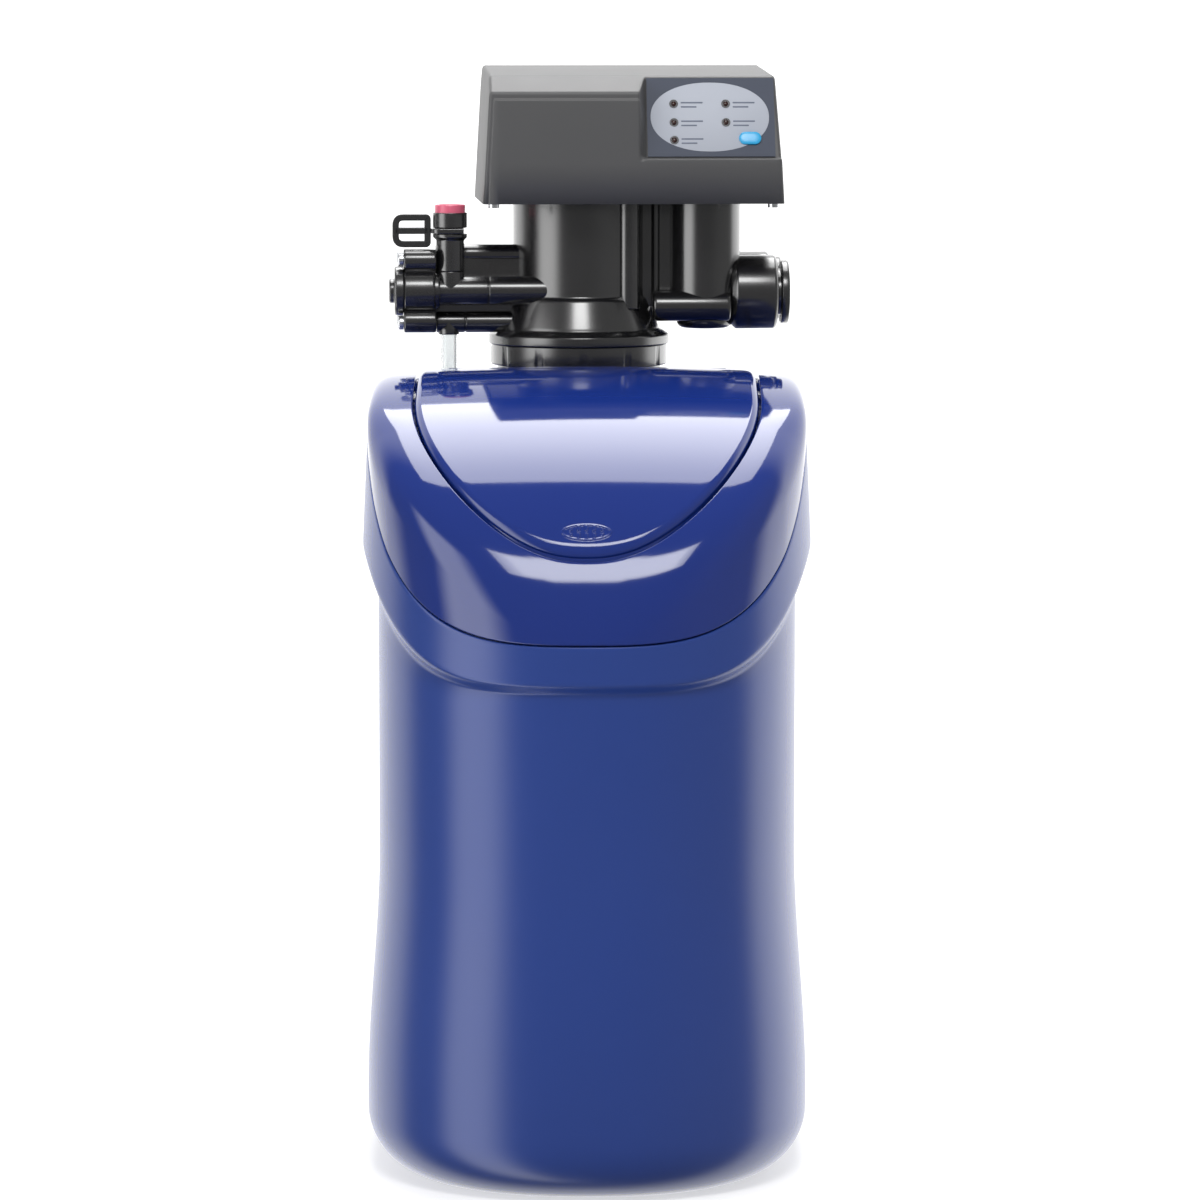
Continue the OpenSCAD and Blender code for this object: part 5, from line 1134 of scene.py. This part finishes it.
# Name, colour, roughness, bump, spread of roughness, drift of tone, grain per metre, and the shader's own
# values. A word in place of a value names one of SoftenerFinish. The cabinet's roughness stays on one side of
# 0.274, because the denoiser marks a surface that crosses it.
MOULDED = (
    ("satin_blue", "shell_blue", "shell_rough", 0.05, 0.06, 0.10, 480.0, PLAIN),
    ("gloss_blue", "cover_blue", "cover_rough", 0.015, 0.06, 0.06, 160.0, GLOSS),
    ("black_plastic", "valve_black", 0.24, 0.05, 0.16, 0.5, 640.0, GLOSSY_BLACK),
    ("charcoal_plastic", "head_grey", 0.5, 0.12, 0.10, 0.15, 760.0, PLAIN),
    ("grey_plastic", (0.10, 0.105, 0.115), 0.38, 0.05, 0.1, 0.1, 900.0, PLAIN),
    ("white_plastic", (0.72, 0.72, 0.69), 0.36, 0.05, 0.1, 0.08, 900.0, PLAIN),
    ("float_foam", (0.80, 0.55, 0.09), 0.6, 0.25, 0.1, 0.2, 700.0, PLAIN),
    ("vessel_blue", (0.022, 0.034, 0.145), 0.33, 0.2, 0.2, 0.3, 260.0, PLAIN),
    ("seal_rubber", (0.008, 0.008, 0.008), 0.55, 0.08, 0.12, 0.3, 900.0, PLAIN),
    ("red_plastic", "collet_red", 0.30, 0.03, 0.1, 0.1, 900.0, PLAIN),
    ("button_blue", "button_blue", 0.30, 0.02, 0.1, 0.08, 900.0, PLAIN),
    ("panel_film", "film_slate", 0.5, 0.04, 0.08, 0.12, 900.0, MATT_FILM),
    ("film_print", "film_pale", 0.5, 0.03, 0.08, 0.06, 900.0, MATT_FILM),
    ("film_mark", (0.13, 0.15, 0.20), 0.5, 0.03, 0.08, 0.06, 900.0, MATT_FILM),
    ("lens_clear", (0.030, 0.012, 0.010), 0.10, 0.0, 0.05, 0.1, 900.0, PLAIN),
    ("board_green", (0.012, 0.10, 0.035), 0.42, 0.08, 0.15, 0.3, 900.0, PLAIN),
    ("clear_tube", (0.88, 0.90, 0.90), 0.08, 0.01, 0.1, 0.06, 900.0, CLEAR),
)


def dressed(name, tree, colour, rough, bump, fixed, **numbers):
    """A material whose principled shader takes colour, roughness and bump from a shared group."""
    made = bpy.data.materials.new("dressed_" + name)
    made.use_nodes = True
    nodes, links = made.node_tree.nodes, made.node_tree.links
    shader = nodes["Principled BSDF"]
    shared = nodes.new("ShaderNodeGroup")
    shared.node_tree = tree
    shared.inputs["Colour"].default_value = (*colour, 1)
    shared.inputs["Roughness"].default_value = rough
    for label, value in numbers.items():
        shared.inputs[label].default_value = value
    links.new(shared.outputs["Colour"], shader.inputs["Base Color"])
    links.new(shared.outputs["Roughness"], shader.inputs["Roughness"])
    relief = nodes.new("ShaderNodeBump")
    relief.inputs["Strength"].default_value = bump
    relief.inputs["Distance"].default_value = BUMP_DEPTH
    links.new(shared.outputs["Height"], relief.inputs["Height"])
    links.new(relief.outputs["Normal"], shader.inputs["Normal"])
    for label, value in fixed.items():
        shader.inputs[label].default_value = value
    made.diffuse_color = (*colour, 1)


class OBJECT_OT_softener_finishes(bpy.types.Operator):
    """Make the finishes and give them to the solids that stay in view"""

    bl_idname = "object.softener_finishes"
    bl_label = "Finishes"

    def execute(self, context):
        chosen = context.scene.softener_finish
        moulded, drawn, beads = moulded_group(), drawn_group(), bead_group()
        for name, colour, rough, bump, spread, drift, grain, fixed in MOULDED:
            colour, rough = (getattr(chosen, v) if isinstance(v, str) else v for v in (colour, rough))
            dressed(name, moulded, colour, rough, bump, fixed, Spread=spread, Drift=drift, Grain=grain)
        dressed("steel", drawn, (0.62, 0.63, 0.65), 0.2, 0.05, METAL)
        dressed("pinion_brass", drawn, (0.70, 0.50, 0.17), 0.24, 0.05, METAL)
        dressed("resin", beads, (0.36, 0.16, 0.03), 0.35, 0.6, PLAIN)
        for part in frame["record"]["subparts"]:
            node = frame["nodes"][part["node"]]
            node.data.materials.clear()
            node.data.materials.append(bpy.data.materials["dressed_" + part["material_slot"]])
        return {"FINISHED"}


# Stage


def lamp(name, place, target, width, height, power):
    """A soft box lamp that looks at a target."""
    data = bpy.data.lights.new(name, "AREA")
    data.shape = "RECTANGLE"
    data.size, data.size_y, data.energy = width, height, power
    box = bpy.data.objects.new(name, data)
    bpy.context.scene.collection.objects.link(box)
    back = np.array(place, float) - np.array(target, float)
    back /= np.linalg.norm(back)
    across = np.cross((0, 0, 1), back)
    across = np.array((1.0, 0, 0)) if np.linalg.norm(across) < 1e-4 else across / np.linalg.norm(across)
    up = np.cross(back, across)
    box.matrix_world = Matrix.Translation(place) @ Matrix(np.stack([across, up, back], 1).tolist()).to_4x4()


def faded(tree, value, start, end, low, high):
    """A smooth change from low to high while a value goes from start to end."""
    node = tree.nodes.new("ShaderNodeMapRange")
    node.interpolation_type = "SMOOTHSTEP"
    for label, number in (("From Min", start), ("From Max", end), ("To Min", low), ("To Max", high)):
        node.inputs[label].default_value = number
    tree.links.new(value, node.inputs["Value"])
    return node.outputs["Result"]


def seen(tree):
    """One where a ray comes straight from the camera or through clear plastic."""
    path = tree.nodes.new("ShaderNodeLightPath").outputs
    return sums(tree, "MAXIMUM", path["Is Camera Ray"], path["Is Transmission Ray"])


class OBJECT_OT_softener_stage(bpy.types.Operator):
    """Set the camera, the soft boxes, the white floor and the background"""

    bl_idname = "object.softener_stage"
    bl_label = "Stage"

    def execute(self, context):
        scene = context.scene
        s = scene.softener_stage
        data = bpy.data.cameras.new("Camera")
        data.sensor_width = SENSOR_MM
        data.lens = s.camera_lens
        data.clip_end = VIEW_REACH
        camera = bpy.data.objects.new("Camera", data)
        camera.location = (s.camera_x, -s.camera_distance, s.camera_height)
        camera.rotation_euler = (math.pi / 2 - s.camera_pitch, 0, 0)
        scene.collection.objects.link(camera)
        scene.camera = camera
        scene.view_settings.view_transform = "Standard"

        r = FLOOR_REACH
        mesh = bpy.data.meshes.new("floor")
        mesh.from_pydata([(-r, -r, 0), (r, -r, 0), (r, r, 0), (-r, r, 0)], [], [(0, 1, 2, 3)])
        floor = bpy.data.objects.new("floor", mesh)
        scene.collection.objects.link(floor)
        floor.visible_glossy = False
        mesh.materials.append(self.floor_material(s.floor_white))
        self.background(scene)

        for name, width, height in FRONT_BOXES:
            lamp(name, FRONT_PLACE, LAMP_AIM, width, height, FRONT_POWER)
        lamp("top_box", TOP_PLACE, TOP_AIM, TOP_W, TOP_L, TOP_POWER)
        return {"FINISHED"}

    def floor_material(self, white):
        """A plain pale floor that keeps the shadow and lifts to white in view, more so far off."""
        made = bpy.data.materials.new("floor_white")
        made.use_nodes = True
        tree = made.node_tree
        inputs = tree.nodes["Principled BSDF"].inputs
        inputs["Base Color"].default_value = (*white, 1)
        inputs["Roughness"].default_value = 1.0
        inputs["Specular IOR Level"].default_value = 0.0
        inputs["Emission Color"].default_value = (1, 1, 1, 1)
        far = tree.nodes.new("ShaderNodeVectorMath")
        far.operation = "LENGTH"
        tree.links.new(tree.nodes.new("ShaderNodeTexCoord").outputs["Object"], far.inputs[0])
        lift = faded(tree, far.outputs["Value"], *FLOOR_FADE)
        tree.links.new(sums(tree, "MULTIPLY", seen(tree), lift), inputs["Emission Strength"])
        return made

    def background(self, scene):
        """White for the camera and through clear plastic. Other rays meet a white sheet behind the object,
        brighter to the right, a tall soft box to the left of the camera, and a dim room elsewhere. The soft
        box fades in and out along its two sides and towards its top."""
        world = bpy.data.worlds.new("studio")
        world.use_nodes = True
        scene.world = world
        tree = world.node_tree
        sky = tree.nodes["Background"].inputs
        sky["Color"].default_value = (1, 1, 1, 1)
        axes = tree.nodes.new("ShaderNodeSeparateXYZ")
        tree.links.new(tree.nodes.new("ShaderNodeTexCoord").outputs["Generated"], axes.inputs[0])
        x, y, z = axes.outputs
        sheet = faded(tree, sums(tree, "MULTIPLY_ADD", x, SHEET_LEAN, y), *SHEET_FADE)
        sheet = sums(tree, "MULTIPLY", sheet, faded(tree, x, *RIGHT_FADE))
        round_left = sums(tree, "ARCTAN2", sums(tree, "MULTIPLY", x, -1.0), sums(tree, "MULTIPLY", y, -1.0))
        box = sums(tree, "MULTIPLY", faded(tree, round_left, *BOX_NEAR_FADE),
                   faded(tree, round_left, *BOX_FAR_FADE))
        box = sums(tree, "MULTIPLY", box, faded(tree, z, *BOX_TOP_FADE))
        tree.links.new(sums(tree, "MAXIMUM", seen(tree), sums(tree, "ADD", sheet, box)), sky["Strength"])
        world.cycles.sampling_method = "NONE"


class VIEW3D_PT_softener(bpy.types.Panel):
    """Lists the steps that dress the softener."""

    bl_label = "Water softener"
    bl_idname = "VIEW3D_PT_softener"
    bl_space_type = "VIEW_3D"
    bl_region_type = "UI"
    bl_category = "Softener"

    def draw(self, context):
        for step in STEPS:
            self.layout.operator(step.bl_idname)
        for label in GROUPS:
            group = getattr(context.scene, label)
            box = self.layout.box()
            for key in group.bl_rna.properties.keys():
                if key not in ("rna_type", "name"):
                    box.prop(group, key)


GROUPS = {"softener_form": SoftenerForm, "softener_finish": SoftenerFinish, "softener_stage": SoftenerStage}
STEPS = (
    OBJECT_OT_softener_finishes, OBJECT_OT_softener_cabinet, OBJECT_OT_softener_cover, OBJECT_OT_softener_lid,
    OBJECT_OT_softener_deck, OBJECT_OT_softener_tube, OBJECT_OT_softener_valve, OBJECT_OT_softener_collar,
    OBJECT_OT_softener_injector, OBJECT_OT_softener_drain, OBJECT_OT_softener_ports, OBJECT_OT_softener_head,
    OBJECT_OT_softener_panel, OBJECT_OT_softener_stage)
CLASSES = (*GROUPS.values(), *STEPS, VIEW3D_PT_softener)


def register():
    """Adds the classes and the scene's property groups."""
    for kind in CLASSES:
        bpy.utils.register_class(kind)
    for label, kind in GROUPS.items():
        setattr(bpy.types.Scene, label, PointerProperty(type=kind))


def unregister():
    """Takes the property groups and the classes away."""
    for label in GROUPS:
        delattr(bpy.types.Scene, label)
    for kind in reversed(CLASSES):
        bpy.utils.unregister_class(kind)


def main():
    """Runs every step in order."""
    register()
    for step in STEPS:
        area, action = step.bl_idname.split(".")
        getattr(getattr(bpy.ops, area), action)()


if __name__ == "__main__":
    main()
